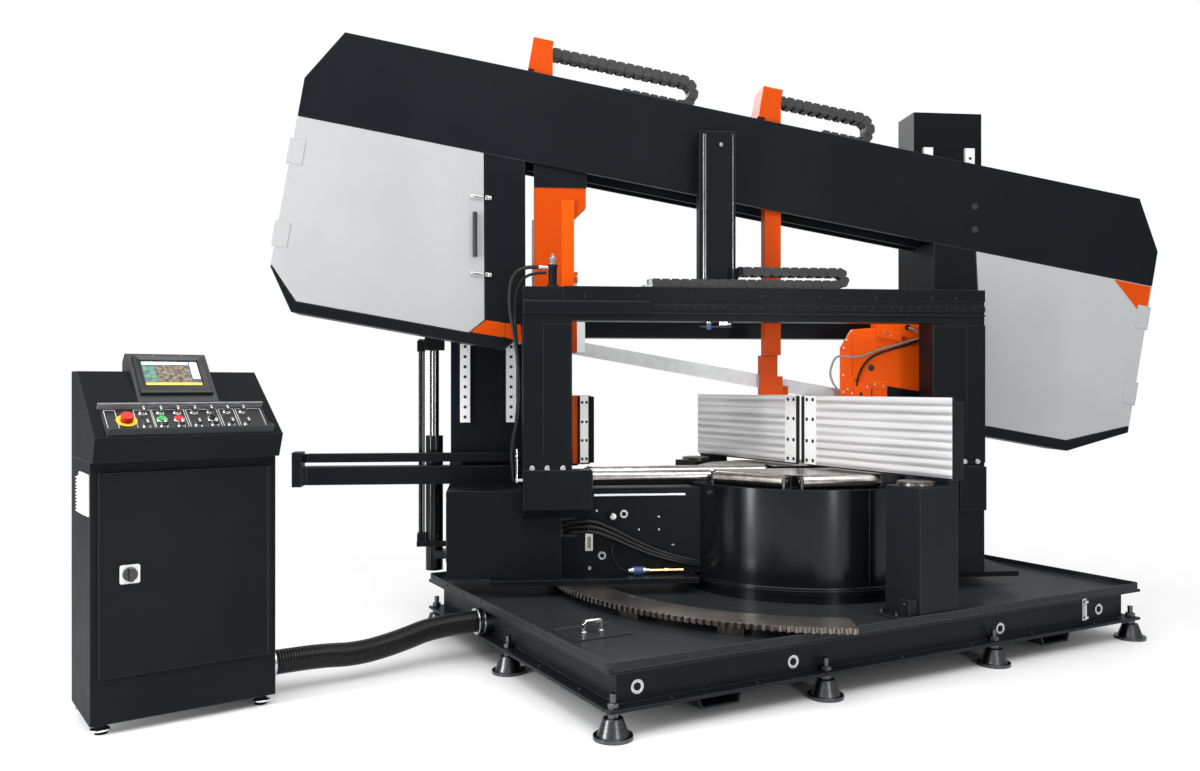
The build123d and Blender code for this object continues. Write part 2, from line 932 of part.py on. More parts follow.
# Main switch knob on the door
switch_x = console_left + switch_inset
switch_z = door_high - switch_drop
switch_front = console_front - door_sheet - running_gap
with BuildPart() as main_switch:
    rod((switch_x, switch_front, switch_z), (0, -1, 0), switch_radius, switch_depth)
    block(
        switch_x - switch_radius / 4,
        switch_x + switch_radius / 4,
        switch_front - switch_depth - switch_grip,
        switch_front - switch_depth,
        switch_z - switch_radius,
        switch_z + switch_radius,
    )
write(main_switch, "main_switch", CONSOLE)

# Controls on the sloping panel: each has a stem through the sheet and a head above it


def control(x, head_radius, head_rise):
    """A stem through the panel with a round head above it."""
    with BuildSketch(desk_plane(x, button_row)) as stem:
        Circle(button_radius)
    extrude(stem.sketch, amount=-button_stem)
    extrude(stem.sketch, amount=button_rise)
    with BuildSketch(desk_plane(x, button_row).offset(button_rise)) as head:
        Circle(head_radius)
    extrude(head.sketch, amount=head_rise)


with BuildPart() as emergency_stop:
    control(stop_mushroom_x, stop_mushroom_radius, stop_mushroom_rise - button_rise)
write(emergency_stop, "emergency_stop", CONSOLE)

with BuildPart() as start_button:
    control(start_x, button_radius, button_crown)
write(start_button, "start_button", CONSOLE)

with BuildPart() as stop_button:
    control(halt_x, button_radius, button_crown)
write(stop_button, "stop_button", CONSOLE)

with BuildPart() as mode_selector:
    control(selector_x, button_radius, button_crown)
    with BuildSketch(desk_plane(selector_x, button_row).offset(button_rise)) as lever:
        Rectangle(button_radius / 2, 2 * button_radius)
    extrude(lever.sketch, amount=stop_mushroom_rise - button_rise)
write(mode_selector, "mode_selector", CONSOLE)

# Hose flanges on the base web and on the console's side
hose_console_end = console_right + hose_console_reach


def from_console(x, y, z):
    """A point of the turned console, in the base's own directions."""
    return (CONSOLE_STAND * Location((x, y, z))).position


console_side = from_console(console_right, hose_console_y, hose_console_z)
console_way = from_console(hose_console_end, hose_console_y, hose_console_z) - console_side
hose_base_end = -base_left + web_inset - hose_port_reach
with BuildPart() as hose_flanges:
    rod((hose_base_end, hose_base_y, hose_base_z), (1, 0, 0), hose_port_radius, hose_port_reach)
    rod(console_side, console_way, hose_port_radius, hose_console_reach)
    rod(
        (hose_base_end, hose_base_y, hose_base_z),
        (1, 0, 0),
        hose_bore,
        hose_port_reach,
        Mode.SUBTRACT,
    )
    rod(console_side, console_way, hose_bore, hose_console_reach, Mode.SUBTRACT)
write(hose_flanges, "hose_flanges", BASE)

# Ribbed hose between the two flanges: straight runs joined by tangent arcs
hose_first_bend = from_console(hose_console_end + hose_first_run, hose_console_y, hose_console_z)
hose_points = [
    from_console(hose_console_end, hose_console_y, hose_console_z),
    hose_first_bend,
    hose_first_bend + Vector(hose_dip_run, hose_dip_side, -hose_dip),
    Vector(
        hose_base_end - hose_last_run - hose_rise_run,
        hose_base_y - hose_rise_side,
        hose_base_z - hose_rise,
    ),
    Vector(hose_base_end - hose_last_run, hose_base_y, hose_base_z),
    Vector(hose_base_end, hose_base_y, hose_base_z),
]
hose_radii = []
for before, corner, after in zip(hose_points, hose_points[1:], hose_points[2:]):
    run_in = corner - before
    run_out = after - corner
    turn = math.radians(run_in.get_angle(run_out))
    hose_radii.append(0.45 * min(run_in.length, run_out.length) / math.tan(turn / 2))
print("hose radii", [round(r, 1) for r in hose_radii])
with BuildLine() as hose_route:
    FilletPolyline(*hose_points, radius=hose_radii)
hose_wire = hose_route.wire()
hose_ribs = int(hose_wire.length / hose_pitch)


def hose_circle(share, radius):
    """A circle round the hose's line at a share of its length."""
    place = hose_wire.position_at(share)
    with BuildSketch(Plane(origin=place, x_dir=(0, 0, 1), z_dir=hose_wire.tangent_at(share))) as ring:
        Circle(radius)
    return ring.sketch.face()


with BuildPart() as supply_hose:
    rib_faces = []
    for rib in range(hose_ribs):
        for part_of_pitch, radius in ((0.0, 0.0), (0.25, hose_rib), (0.5, hose_rib), (0.75, 0.0)):
            rib_faces.append(hose_circle((rib + part_of_pitch) / hose_ribs, hose_radius + radius))
    rib_faces.append(hose_circle(1.0, hose_radius))
    loft(rib_faces, ruled=True)
    bore_faces = [hose_circle(step / hose_ribs, hose_bore) for step in range(hose_ribs + 1)]
    loft(bore_faces, ruled=True, mode=Mode.SUBTRACT)
write(supply_hose, "supply_hose", BASE)

# Turret: a round drum on a flange, with table pads beside the trench that the blade runs down into
with BuildPart() as turret_drum:
    rod((0, 0, drum_foot), (0, 0, 1), drum_flange_radius, drum_flange_height)
    rod((0, 0, drum_foot), (0, 0, 1), drum_radius, drum_top - drum_foot)
    rod(
        (0, 0, drum_foot),
        (0, 0, 1),
        drum_radius - drum_wall,
        drum_top - drum_wall - drum_foot,
        Mode.SUBTRACT,
    )
    with BuildSketch(Plane.XY.offset(trench_floor - trench_wall)) as trench_box:
        Circle(drum_radius - drum_wall / 2)
        Rectangle(2 * drum_radius, 2 * trench_half + 2 * trench_wall, mode=Mode.INTERSECT)
    extrude(trench_box.sketch, amount=drum_top - trench_floor + trench_wall - drum_wall / 2)
    with BuildSketch(Plane.XY.offset(drum_top)) as table_pads:
        with BuildLine():
            Polyline(*[(x * drum_radius, y * drum_radius) for x, y in pad_outline], close=True)
        make_face()
    extrude(table_pads.sketch, amount=pad_top - drum_top)
    block(-drum_radius, drum_radius, -trench_half, trench_half, trench_floor, pad_top, Mode.SUBTRACT)
write(turret_drum, "turret_drum", HEAD)

# Left arm: girder with the trench, and the pedestal below the left column
arm_inner = drum_radius + running_gap
with BuildPart() as left_arm:
    block(pedestal_left, pedestal_right, pedestal_front, column_back, sole_top, arm_top)
    block(pedestal_right, -drum_radius / 2, -girder_half, girder_half, sole_top, arm_top)
    block(
        pedestal_left + arm_wall,
        pedestal_right - arm_wall,
        pedestal_front + arm_wall,
        column_back - arm_wall,
        sole_top,
        arm_top - arm_wall,
        Mode.SUBTRACT,
    )
    block(pedestal_right, 0, -trench_half, trench_half, trench_floor, arm_top, Mode.SUBTRACT)
    girder_end = -drum_radius - arm_wall
    block(
        pedestal_right,
        girder_end,
        -girder_half + arm_wall,
        girder_half - arm_wall,
        sole_top,
        trench_floor - trench_wall,
        Mode.SUBTRACT,
    )
    for side in (-1, 1):
        wall_in = side * (trench_half + trench_wall)
        wall_out = side * (girder_half - arm_wall)
        block(
            pedestal_right,
            girder_end,
            min(wall_in, wall_out),
            max(wall_in, wall_out),
            sole_top,
            arm_top - arm_wall,
            Mode.SUBTRACT,
        )
    rod((0, 0, sole_bottom), (0, 0, 1), arm_inner, arm_top, Mode.SUBTRACT)
write(left_arm, "left_arm", HEAD)

# Right arm: two beams beside the space that the bow comes down into, tied low down
with BuildPart() as right_arm:
    beams = (
        (right_front_end, portal_front, right_front_back),
        (right_column_right, column_front, column_back),
    )
    for beam_end, beam_y0, beam_y1 in beams:
        block(0, beam_end, beam_y0, beam_y1, sole_top, right_beam_top)
    block(
        drum_radius,
        right_front_end,
        right_front_back,
        column_front,
        sole_top,
        sole_top + right_tie_height,
    )
    rod((0, 0, sole_bottom), (0, 0, 1), arm_inner, arm_top, Mode.SUBTRACT)
    for beam_end, beam_y0, beam_y1 in beams:
        block(
            drum_radius + 2 * arm_wall,
            beam_end - arm_wall,
            beam_y0 + arm_wall,
            beam_y1 - arm_wall,
            sole_top,
            right_beam_top - arm_wall,
            Mode.SUBTRACT,
        )
write(right_arm, "right_arm", HEAD)

# Sole plates under both arms; the left one carries the pinion's shaft
with BuildPart() as sole_plates:
    block(sole_left, -drum_radius, sole_front, girder_half, sole_bottom, sole_top)
    block(drum_radius, sole_right, sole_front, column_back, sole_bottom, sole_top)
    flange_clear = drum_flange_radius + running_gap
    rod((0, 0, sole_bottom), (0, 0, 1), flange_clear, sole_thickness, Mode.SUBTRACT)
    rod(
        (-pinion_distance, 0, sole_bottom),
        (0, 0, 1),
        pinion_shaft_radius + running_gap,
        sole_thickness,
        Mode.SUBTRACT,
    )
write(sole_plates, "sole_plates", HEAD)

# Swivel pinion: round spaces that take the pins, and its shaft up through the sole plate
with BuildPart() as swivel_pinion:
    pinion_tip = pinion_distance - (ring_radius - ring_root_drop) - pinion_tip_gap
    with BuildSketch(Plane.XY.offset(ring_bottom)) as pinion_section:
        with Locations((-pinion_distance, 0)):
            Circle(pinion_tip)
            with PolarLocations(pinion_radius, pinion_teeth):
                Circle(pinion_space_scale * ring_pin_radius, mode=Mode.SUBTRACT)
    extrude(pinion_section.sketch, amount=ring_thickness)
    rod((-pinion_distance, 0, ring_bottom), (0, 0, 1), pinion_shaft_radius, pinion_shaft_top - ring_bottom)
write(swivel_pinion, "swivel_pinion", HEAD)

# Column frame: two hollow columns that carry the bow's rails, welded to the tie beam behind
with BuildPart() as column_frame:
    for column_left, column_foot in ((pedestal_left, arm_top), (right_column_left, right_beam_top)):
        block(column_left, column_left + column_width, column_front, column_back, column_foot, column_top)
        block(
            column_left + column_wall,
            column_left + column_width - column_wall,
            column_front + column_wall,
            column_back - column_wall,
            column_foot,
            column_top - column_wall,
            Mode.SUBTRACT,
        )
    block(
        left_column_right,
        right_column_left,
        column_front + tie_setback,
        column_front + tie_setback + tie_depth,
        tie_bottom,
        tie_bottom + tie_height,
    )
write(column_frame, "column_frame", HEAD)

# Rails on the front of the columns
with BuildPart() as column_rails:
    for column_left, rail_bottom, rail_top in (
        (pedestal_left, arm_top + left_rail_rise, left_rail_top),
        (right_column_left, right_beam_top + right_rail_rise, right_rail_top),
    ):
        for rail_left in (
            column_left + rail_inset,
            column_left + column_width - rail_inset - rail_width,
        ):
            block(
                rail_left,
                rail_left + rail_width,
                column_front - rail_thickness,
                column_front,
                rail_bottom,
                rail_top,
            )
write(column_rails, "column_rails", HEAD)

# Clamp portal: two legs with foot boxes, the crossbeam and the hose coupling on the left leg
with BuildPart() as clamp_portal:
    block(
        portal_left, portal_left + portal_leg_width, portal_front, portal_leg_back, arm_top, portal_beam_top
    )
    block(
        portal_right - portal_right_leg_width,
        portal_right - portal_plate,
        portal_front,
        portal_leg_back,
        right_beam_top,
        portal_beam_top,
    )
    block(
        portal_left,
        portal_right - portal_plate,
        portal_front,
        portal_beam_back,
        portal_beam_bottom,
        portal_beam_top,
    )
    foot_front = portal_front - portal_foot_reach
    foot_back = pedestal_front - running_gap
    foot_bottom = arm_top - portal_foot_drop
    with BuildSketch(Plane.YZ.offset(portal_left)) as foot_side:
        Polygon(
            (foot_front, arm_top + portal_foot_rise),
            (foot_front, foot_bottom + portal_foot_bevel),
            (foot_front + portal_foot_bevel, foot_bottom),
            (foot_back, foot_bottom),
            (foot_back, arm_top + portal_foot_rise),
            align=None,
        )
    extrude(foot_side.sketch, amount=portal_leg_width + portal_foot_overhang)
    block(
        portal_right - portal_right_leg_width / 2,
        portal_right,
        portal_front - portal_foot_reach,
        portal_front,
        right_beam_top,
        arm_top + portal_foot_rise,
    )
    rod(
        (portal_left + coupling_x, portal_front + coupling_y, portal_beam_top),
        (0, 0, 1),
        coupling_radius,
        coupling_height,
    )
    rod((0, 0, right_beam_top), (0, 0, 1), arm_inner, table_height - right_beam_top, Mode.SUBTRACT)
write(clamp_portal, "clamp_portal", HEAD)

# Clamp carriage: a sleeve behind the crossbeam with a tab for the energy chain
carriage_left = mast_x - mast_width / 2 - carriage_wall
carriage_right = mast_x + mast_width / 2 + carriage_wall
carriage_front = portal_beam_back + running_gap
mast_front = carriage_front + carriage_wall
mast_back = mast_front + mast_depth
carriage_back = mast_back + carriage_wall
carriage_top = portal_beam_top + chain_loop_height
carriage_low = portal_beam_bottom + carriage_wall
with BuildPart() as clamp_carriage:
    block(
        carriage_left,
        carriage_right,
        carriage_front,
        carriage_back,
        carriage_low,
        carriage_low + carriage_height,
    )
    block(
        carriage_right - 2 * carriage_wall,
        carriage_right,
        carriage_front,
        carriage_back,
        carriage_low,
        carriage_top,
    )
    block(
        carriage_right - 2 * carriage_wall,
        carriage_right,
        portal_front + carriage_wall,
        carriage_back,
        carriage_top - chain_height,
        carriage_top,
    )
    block(
        mast_x - mast_width / 2 - running_gap,
        mast_x + mast_width / 2 + running_gap,
        mast_front - running_gap,
        mast_back + running_gap,
        carriage_low,
        carriage_top,
        Mode.SUBTRACT,
    )
write(clamp_carriage, "clamp_carriage", HEAD)

# Clamp mast with its pressing foot
with BuildPart() as clamp_mast:
    mast_low = carriage_low - running_gap
    block(
        mast_x - mast_width / 2, mast_x + mast_width / 2, mast_front, mast_back, mast_low, mast_top
    )
    block(
        mast_x - mast_foot_width / 2,
        mast_x + mast_foot_width / 2,
        mast_front,
        mast_back,
        mast_low - mast_foot_height,
        mast_low,
    )
write(clamp_mast, "clamp_mast", HEAD)


def chain(start, anchor, end, low, rise, thickness, y0, y1):
    """An energy chain lying in the X-Z plane."""
    half = rise / 2
    reach = half - thickness
    with BuildSketch(Plane.XZ.offset(-y1)) as band:
        with BuildLine():
            Polyline(
                (end - half, low),
                (anchor, low),
                (anchor, low + thickness),
                (end - half, low + thickness),
            )
            CenterArc((end - half, low + half), reach, -90, 180)
            Polyline(
                (end - half, low + rise - thickness),
                (start, low + rise - thickness),
                (start, low + rise),
                (end - half, low + rise),
            )
            CenterArc((end - half, low + half), half, 90, -180)
        make_face()
    extrude(band.sketch, amount=y1 - y0)


# Energy chain along the crossbeam to the clamp carriage
with BuildPart() as clamp_chain:
    chain(
        carriage_right,
        clamp_chain_anchor,
        clamp_chain_end,
        portal_beam_top,
        chain_loop_height,
        chain_height,
        portal_front + carriage_wall,
        portal_front + carriage_wall + chain_width,
    )
write(clamp_chain, "clamp_chain", HEAD)

# Table rollers on the left arm and the two rollers on the front of the turret


def roller(start, end, centre_z):
    """A roller between two points, with an axle stub at each end."""
    direction = Vector(end[0] - start[0], end[1] - start[1], 0)
    along = direction.normalized()
    first = Vector(start[0], start[1], centre_z)
    rod(first, along, roller_radius, direction.length)
    axle_length = direction.length + 2 * roller_axle_reach
    rod(first - along * roller_axle_reach, along, roller_axle_radius, axle_length)


with BuildPart() as table_roller_front:
    roller((roller_left, -roller_offset), (roller_right, -roller_offset), roller_z)
write(table_roller_front, "table_roller_front", HEAD)

with BuildPart() as table_roller_rear:
    roller((roller_left, roller_offset), (rear_roller_right, roller_offset), roller_z)
write(table_roller_rear, "table_roller_rear", HEAD)



def rim_point(angle):
    """A point on the turret's top inside its rim."""
    reach = drum_radius - turret_roller_inset
    return (reach * math.cos(math.radians(angle)), reach * math.sin(math.radians(angle)))


turret_ends = {}
for name, start_angle in (("left", turret_roller_left_start), ("right", turret_roller_right_start)):
    turret_ends[name] = (rim_point(start_angle), rim_point(start_angle + turret_roller_span))
with BuildPart() as turret_roller_left:
    roller(*turret_ends["left"], roller_z)
write(turret_roller_left, "turret_roller_left", HEAD)

with BuildPart() as turret_roller_right:
    roller(*turret_ends["right"], roller_z)
write(turret_roller_right, "turret_roller_right", HEAD)


def roller_bracket(start, end, start_foot, end_foot):
    """An upright plate at each end of a roller, bored for its axle."""
    direction = Vector(end[0] - start[0], end[1] - start[1], 0)
    along = direction.normalized()
    heading = math.degrees(math.atan2(along.Y, along.X))
    middle = bracket_thickness / 2 + running_gap
    for point, sign, foot_z in ((start, -1, start_foot), (end, 1, end_foot)):
        height = table_height - bracket_top_drop - foot_z
        centre = Vector(point[0], point[1], foot_z + height / 2) + along * (sign * middle)
        with Locations(Location(centre, (0, 0, heading))):
            Box(bracket_thickness, bracket_width, height)
    first = Vector(start[0], start[1], roller_z) - along * (2 * middle)
    rod(first, along, roller_axle_radius + running_gap, direction.length + 4 * middle, Mode.SUBTRACT)


with BuildPart() as roller_brackets:
    for right_end, offset_y in ((roller_right, -roller_offset), (rear_roller_right, roller_offset)):
        roller_bracket((roller_left, offset_y), (right_end, offset_y), arm_top, drum_top)
    for ends in turret_ends.values():
        roller_bracket(*ends, drum_top, drum_top)
write(roller_brackets, "roller_brackets", HEAD)

# Vise cylinder on top of the pedestal, with the blocks that guide the ram
with BuildPart() as vise_cylinder:
    barrel_y0 = vise_pin_y - vise_barrel_width / 2
    barrel_y1 = vise_pin_y + vise_barrel_width / 2
    barrel_top = arm_top + vise_barrel_height
    block(vise_left, vise_barrel_right, barrel_y0, barrel_y1, arm_top, barrel_top)
    bore_z = arm_top + vise_barrel_height / 2
    rod(
        (vise_left + vise_barrel_width, vise_pin_y, bore_z),
        (1, 0, 0),
        vise_bore_width / 2,
        vise_barrel_right - vise_left,
        Mode.SUBTRACT,
    )
    for guide_left in (pedestal_left, vise_barrel_right - vise_guide_length):
        block(
            guide_left,
            guide_left + vise_guide_length,
            barrel_y0,
            barrel_y1,
            barrel_top,
            barrel_top + vise_guide_height,
        )
write(vise_cylinder, "vise_cylinder", HEAD)

# Vise ram: the bar above the cylinder, its hub and the pin the jaw turns on
with BuildPart() as vise_ram:
    block(
        vise_left,
        vise_pin_x,
        vise_pin_y - vise_ram_width / 2,
        vise_pin_y + vise_ram_width / 2,
        vise_ram_bottom,
        vise_ram_bottom + vise_ram_height,
    )
    hub_top = knuckle_bottom - running_gap
    rod((vise_pin_x, vise_pin_y, vise_hub_bottom), (0, 0, 1), vise_hub_radius, hub_top - vise_hub_bottom)
    rod((vise_pin_x, vise_pin_y, hub_top), (0, 0, 1), vise_pin_radius, vise_pin_top - hub_top)
write(vise_ram, "vise_ram", HEAD)

# Moving jaw: an upright plate with a bored knuckle round the ram's pin
with BuildPart() as moving_jaw:
    block(moving_jaw_back, jaw_face_x, -moving_jaw_near, moving_jaw_far, moving_jaw_bottom, jaw_top)
    block(
        0,
        moving_jaw_back,
        -knuckle_half,
        knuckle_half,
        knuckle_bottom,
        knuckle_bottom + knuckle_height,
    )
    rod((0, 0, knuckle_bottom), (0, 0, 1), knuckle_half, knuckle_height)
    rod((0, 0, knuckle_bottom), (0, 0, 1), vise_pin_radius + running_gap, knuckle_height, Mode.SUBTRACT)
    block(
        moving_jaw_back,
        jaw_face_x,
        -knuckle_half,
        -moving_jaw_near,
        knuckle_bottom,
        jaw_top,
        Mode.SUBTRACT,
    )
write(moving_jaw, "moving_jaw", JAW)

# Ridged face of the moving jaw
with BuildPart() as moving_jaw_plate:
    face_points = [(jaw_face_x + jaw_face - x, z) for x, z in ridge_points]
    sheet(face_points, -moving_jaw_near, moving_jaw_far)
write(moving_jaw_plate, "moving_jaw_plate", JAW)

# Lift cylinders beside the columns, closed at the bottom
with BuildPart() as lift_cylinders:
    for lift_x, lift_y in ((lift_left_x, lift_left_y), (lift_right_x, lift_right_y)):
        rod((lift_x, lift_y, lift_bottom), (0, 0, 1), lift_radius, lift_top - lift_bottom)
    block(
        lift_left_x,
        pedestal_left,
        lift_left_y - lift_radius,
        lift_left_y + lift_radius,
        lift_bracket_bottom,
        lift_bracket_bottom + lift_bracket_height,
    )
    block(
        lift_right_x - lift_radius,
        lift_right_x + lift_radius,
        column_back,
        lift_right_y,
        lift_bracket_bottom,
        lift_bracket_bottom + lift_bracket_height,
    )
    for lift_x, lift_y in ((lift_left_x, lift_left_y), (lift_right_x, lift_right_y)):
        rod(
            (lift_x, lift_y, lift_bottom + lift_floor),
            (0, 0, 1),
            lift_rod_radius + running_gap,
            lift_top - lift_bottom,
            Mode.SUBTRACT,
        )
write(lift_cylinders, "lift_cylinders", HEAD)

# Lift rods with the brackets that reach the back of the bow
with BuildPart() as lift_rods:
    rod(
        (lift_left_x, lift_left_y, lift_rod_bottom),
        (0, 0, 1),
        lift_rod_radius,
        lift_rod_left_top - lift_rod_bottom,
    )
    rod(
        (lift_right_x, lift_right_y, lift_rod_bottom),
        (0, 0, 1),
        lift_rod_radius,
        lift_rod_right_top - lift_rod_bottom,
    )
    block(
        lift_left_x - lift_radius,
        lift_left_x + lift_radius,
        bow_back,
        lift_left_y + lift_radius,
        lift_rod_left_top,
        lift_rod_left_top + lift_bracket_height,
    )
    bracket_left = right_column_right + carriage_wall
    block(
        bracket_left,
        bracket_left + lift_bracket_height,
        bow_back,
        lift_right_y + lift_radius,
        lift_rod_right_top,
        lift_rod_right_top + lift_bracket_height,
    )
    block(
        lift_right_x - lift_radius,
        bracket_left + lift_bracket_height,
        lift_right_y - lift_radius,
        lift_right_y + lift_radius,
        lift_rod_right_top,
        lift_rod_right_top + lift_bracket_height,
    )
write(lift_rods, "lift_rods", HEAD)

# Outlines of the bow: wheel cases, their doors and the band across the top
left_case = [
    (bow_left, band_bottom),
    (bow_left, left_case_bevel_top),
    (bow_left + left_case_bevel, case_bottom),
    (left_case_lip_end, case_bottom),
    (left_case_end, left_case_end_n),
    (left_case_top_end, band_bottom),
]
left_door_outline = [
    (bow_left, band_bottom - door_gap),
    (bow_left, left_door_bevel_top),
    (bow_left + left_door_bevel, door_bottom),
    (left_door_end, door_bottom),
    (left_door_tip, left_door_tip_n),
    (left_door_top_end, band_bottom - door_gap),
]
left_frame = [
    (bow_left, left_door_bevel_top - hinge_relief * door_gap),
    *left_case[1:],
    (left_door_top_end + 2 * door_gap, band_bottom),
    (left_door_tip + 2 * door_gap, left_door_tip_n - door_gap),
    (left_door_end + door_gap, door_bottom - door_gap),
    (bow_left + left_door_bevel - door_gap, door_bottom - door_gap),
]
right_case = [
    (right_case_top_end, band_bottom),
    (right_case_end, right_case_end_n),
    (right_case_lip_start, case_bottom),
    (right_case_bevel_start, case_bottom),
    (bow_right, right_case_bevel_top),
    (bow_right, band_bottom),
]
right_door_outline = [
    (right_door_top_end, band_bottom - door_gap),
    (bow_right, band_bottom - door_gap),
    (bow_right, right_door_bevel_top),
    (right_door_bevel_start, door_bottom),
    (right_door_low_end, door_bottom),
]
right_frame = [
    *right_case[:5],
    (bow_right, right_door_bevel_top - door_gap),
    (right_door_bevel_start + door_gap, door_bottom - door_gap),
    (right_door_low_end - 2 * door_gap, door_bottom - door_gap),
    (right_door_top_end - 2 * door_gap, band_bottom),
]
band = [
    (bow_left, band_bottom),
    (bow_left, band_shoulder),
    (band_left_chamfer, bow_top),
    (band_right_chamfer, bow_top),
    (bow_right, band_shoulder),
    (bow_right, band_bottom),
]
door_back = bow_front + bow_skin
case_front = door_back + case_setback

# Spine behind the wheel cases: a deep beam with a leg at each end
spine_left = bow_left + spine_inset
spine_right = bow_right - spine_inset
spine_top = bow_top - case_wall
spine_left_leg_top = left_case_top_end - spine_leg_inset
spine_left_leg_low = left_case_end - 2 * spine_leg_inset
spine_right_leg_top = right_case_top_end + spine_leg_inset
spine_right_leg_low = right_case_end + spine_leg_inset
spine = [
    (spine_left, band_shoulder),
    (band_left_chamfer + spine_inset / 2, spine_top),
    (band_right_chamfer - spine_inset / 2, spine_top),
    (spine_right, band_shoulder),
    (spine_right, spine_low + spine_bevel),
    (spine_right - spine_bevel, spine_low),
    (spine_right_leg_low, spine_low),
    (spine_right_leg_top, band_bottom),
    (spine_left_leg_top, band_bottom),
    (spine_left_leg_low, spine_low),
    (spine_left + spine_bevel, spine_low),
    (spine_left, spine_low + spine_bevel),
]
with BuildPart() as bow_beam:
    sheet(spine, case_back, bow_back)
    block(
        spine_left_leg_top,
        spine_right_leg_top,
        case_back + spine_wall,
        bow_back - spine_wall,
        band_bottom,
        spine_top - spine_wall,
        Mode.SUBTRACT,
    )
    left_pocket = [
        (spine_left, band_shoulder),
        (band_left_chamfer + spine_inset, spine_top),
        (spine_left_leg_top - spine_leg_inset, spine_top),
        (spine_left_leg_top - spine_leg_inset, band_bottom),
        (spine_left_leg_low - spine_leg_inset, spine_low),
        (spine_left + spine_bevel, spine_low),
        (spine_left, spine_low + spine_bevel),
    ]
    right_pocket = [
        (spine_right_leg_top + spine_leg_inset, spine_top),
        (band_right_chamfer - spine_inset, spine_top),
        (spine_right, band_shoulder),
        (spine_right, spine_low + spine_bevel),
        (spine_right - spine_bevel, spine_low),
        (spine_right_leg_low + spine_leg_inset, spine_low),
        (spine_right_leg_top + spine_leg_inset, band_bottom),
    ]
    for pocket_outline in (left_pocket, right_pocket):
        sheet(pocket_outline, case_back, bow_back - spine_wall, Mode.SUBTRACT, inset=spine_wall)
    for rail_n in (arm_rail_low, arm_rail_high):
        block(
            spine_left_leg_top - spine_leg_inset,
            spine_right_leg_top,
            case_back - arm_rail_reach,
            case_back + spine_wall,
            rail_n,
            rail_n + arm_rail_height,
        )
    rod((drive_s, case_back, wheel_n), (0, 1, 0), 3 * axle_radius, bow_back - case_back)
    rod((drive_s, case_back, wheel_n), (0, 1, 0), axle_radius + running_gap, bow_back, Mode.SUBTRACT)
    window_s = tension_half_length + tension_travel
    window_n = tension_half_height + running_gap
    block(
        idler_s - window_s - spine_wall,
        idler_s + window_s + spine_wall,
        case_back,
        bow_back,
        wheel_n - window_n - spine_wall,
        wheel_n + window_n + spine_wall,
    )
    block(
        idler_s - window_s,
        idler_s + window_s,
        case_back,
        bow_back - spine_wall,
        wheel_n - window_n,
        wheel_n + window_n,
        Mode.SUBTRACT,
    )
    with Locations(UPRIGHT):
        for column_left, shoe_bottom in (
            (pedestal_left, left_shoe_bottom),
            (right_column_left, right_shoe_bottom),
        ):
            for shoe_mid in (
                column_left + rail_inset + rail_width / 2,
                column_left + column_width - rail_inset - rail_width / 2,
            ):
                for shoe_z in (shoe_bottom, shoe_bottom + shoe_lift):
                    block(
                        shoe_mid - shoe_width / 2,
                        shoe_mid + shoe_width / 2,
                        bow_back - spine_wall,
                        column_front - rail_thickness - running_gap,
                        shoe_z,
                        shoe_z + shoe_height,
                    )
write(bow_beam, "bow_beam", BOW)

# Wheel cases: back plate, walls and the fixed frame round each door
blade_window = blade_width / 2 + case_wall


def wheel_case(outline, frame_outline):
    """A shallow case open to the front and the top, with a frame round the door."""
    sheet(outline, case_front, case_back)
    sheet(outline, case_front, case_back - case_wall, Mode.SUBTRACT, inset=case_wall)
    sheet(frame_outline, bow_front, case_front + case_wall)


with BuildPart() as left_wheel_case:
    wheel_case(left_case, left_frame)
    block(
        bow_left + case_wall,
        left_case_top_end - case_wall,
        door_back,
        case_back - case_wall,
        band_bottom - 2 * case_wall,
        band_bottom,
        Mode.SUBTRACT,
    )
    block(
        left_case_lip_end - case_wall,
        left_case_end + case_wall,
        -blade_window,
        blade_window,
        -2 * case_wall,
        blade_width + case_wall,
        Mode.SUBTRACT,
    )
    block(
        idler_s - window_s,
        idler_s + window_s,
        case_back - case_wall,
        case_back,
        wheel_n - window_n,
        wheel_n + window_n,
        Mode.SUBTRACT,
    )
write(left_wheel_case, "left_wheel_case", BOW)

with BuildPart() as right_wheel_case:
    wheel_case(right_case, right_frame)
    block(
        right_case_top_end + case_wall,
        bow_right - case_wall,
        door_back,
        case_back - case_wall,
        band_bottom - 2 * case_wall,
        band_bottom,
        Mode.SUBTRACT,
    )
    block(
        right_case_end - 2 * case_wall,
        right_case_lip_start + 2 * case_wall,
        -blade_window,
        blade_window,
        -2 * case_wall,
        blade_width + case_wall,
        Mode.SUBTRACT,
    )
    rod(
        (drive_s, case_back - case_wall, wheel_n),
        (0, 1, 0),
        axle_radius + running_gap,
        case_wall,
        Mode.SUBTRACT,
    )
write(right_wheel_case, "right_wheel_case", BOW)

# Band across the top of the bow, open below and slotted for the guide arms
with BuildPart() as bow_cover:
    sheet(band, bow_front, case_back)
    inner_band = [
        (bow_left + case_wall, band_bottom - case_wall),
        (bow_left + case_wall, band_shoulder),
        (band_left_chamfer, bow_top - case_wall),
        (band_right_chamfer, bow_top - case_wall),
        (bow_right - case_wall, band_shoulder),
        (bow_right - case_wall, band_bottom - case_wall),
    ]
    sheet(inner_band, door_back, case_back, Mode.SUBTRACT)
    block(
        left_door_top_end,
        right_chain_end,
        top_slot_front,
        top_slot_back,
        bow_top - 2 * case_wall,
        bow_top + case_wall,
        Mode.SUBTRACT,
    )
write(bow_cover, "bow_cover", BOW)

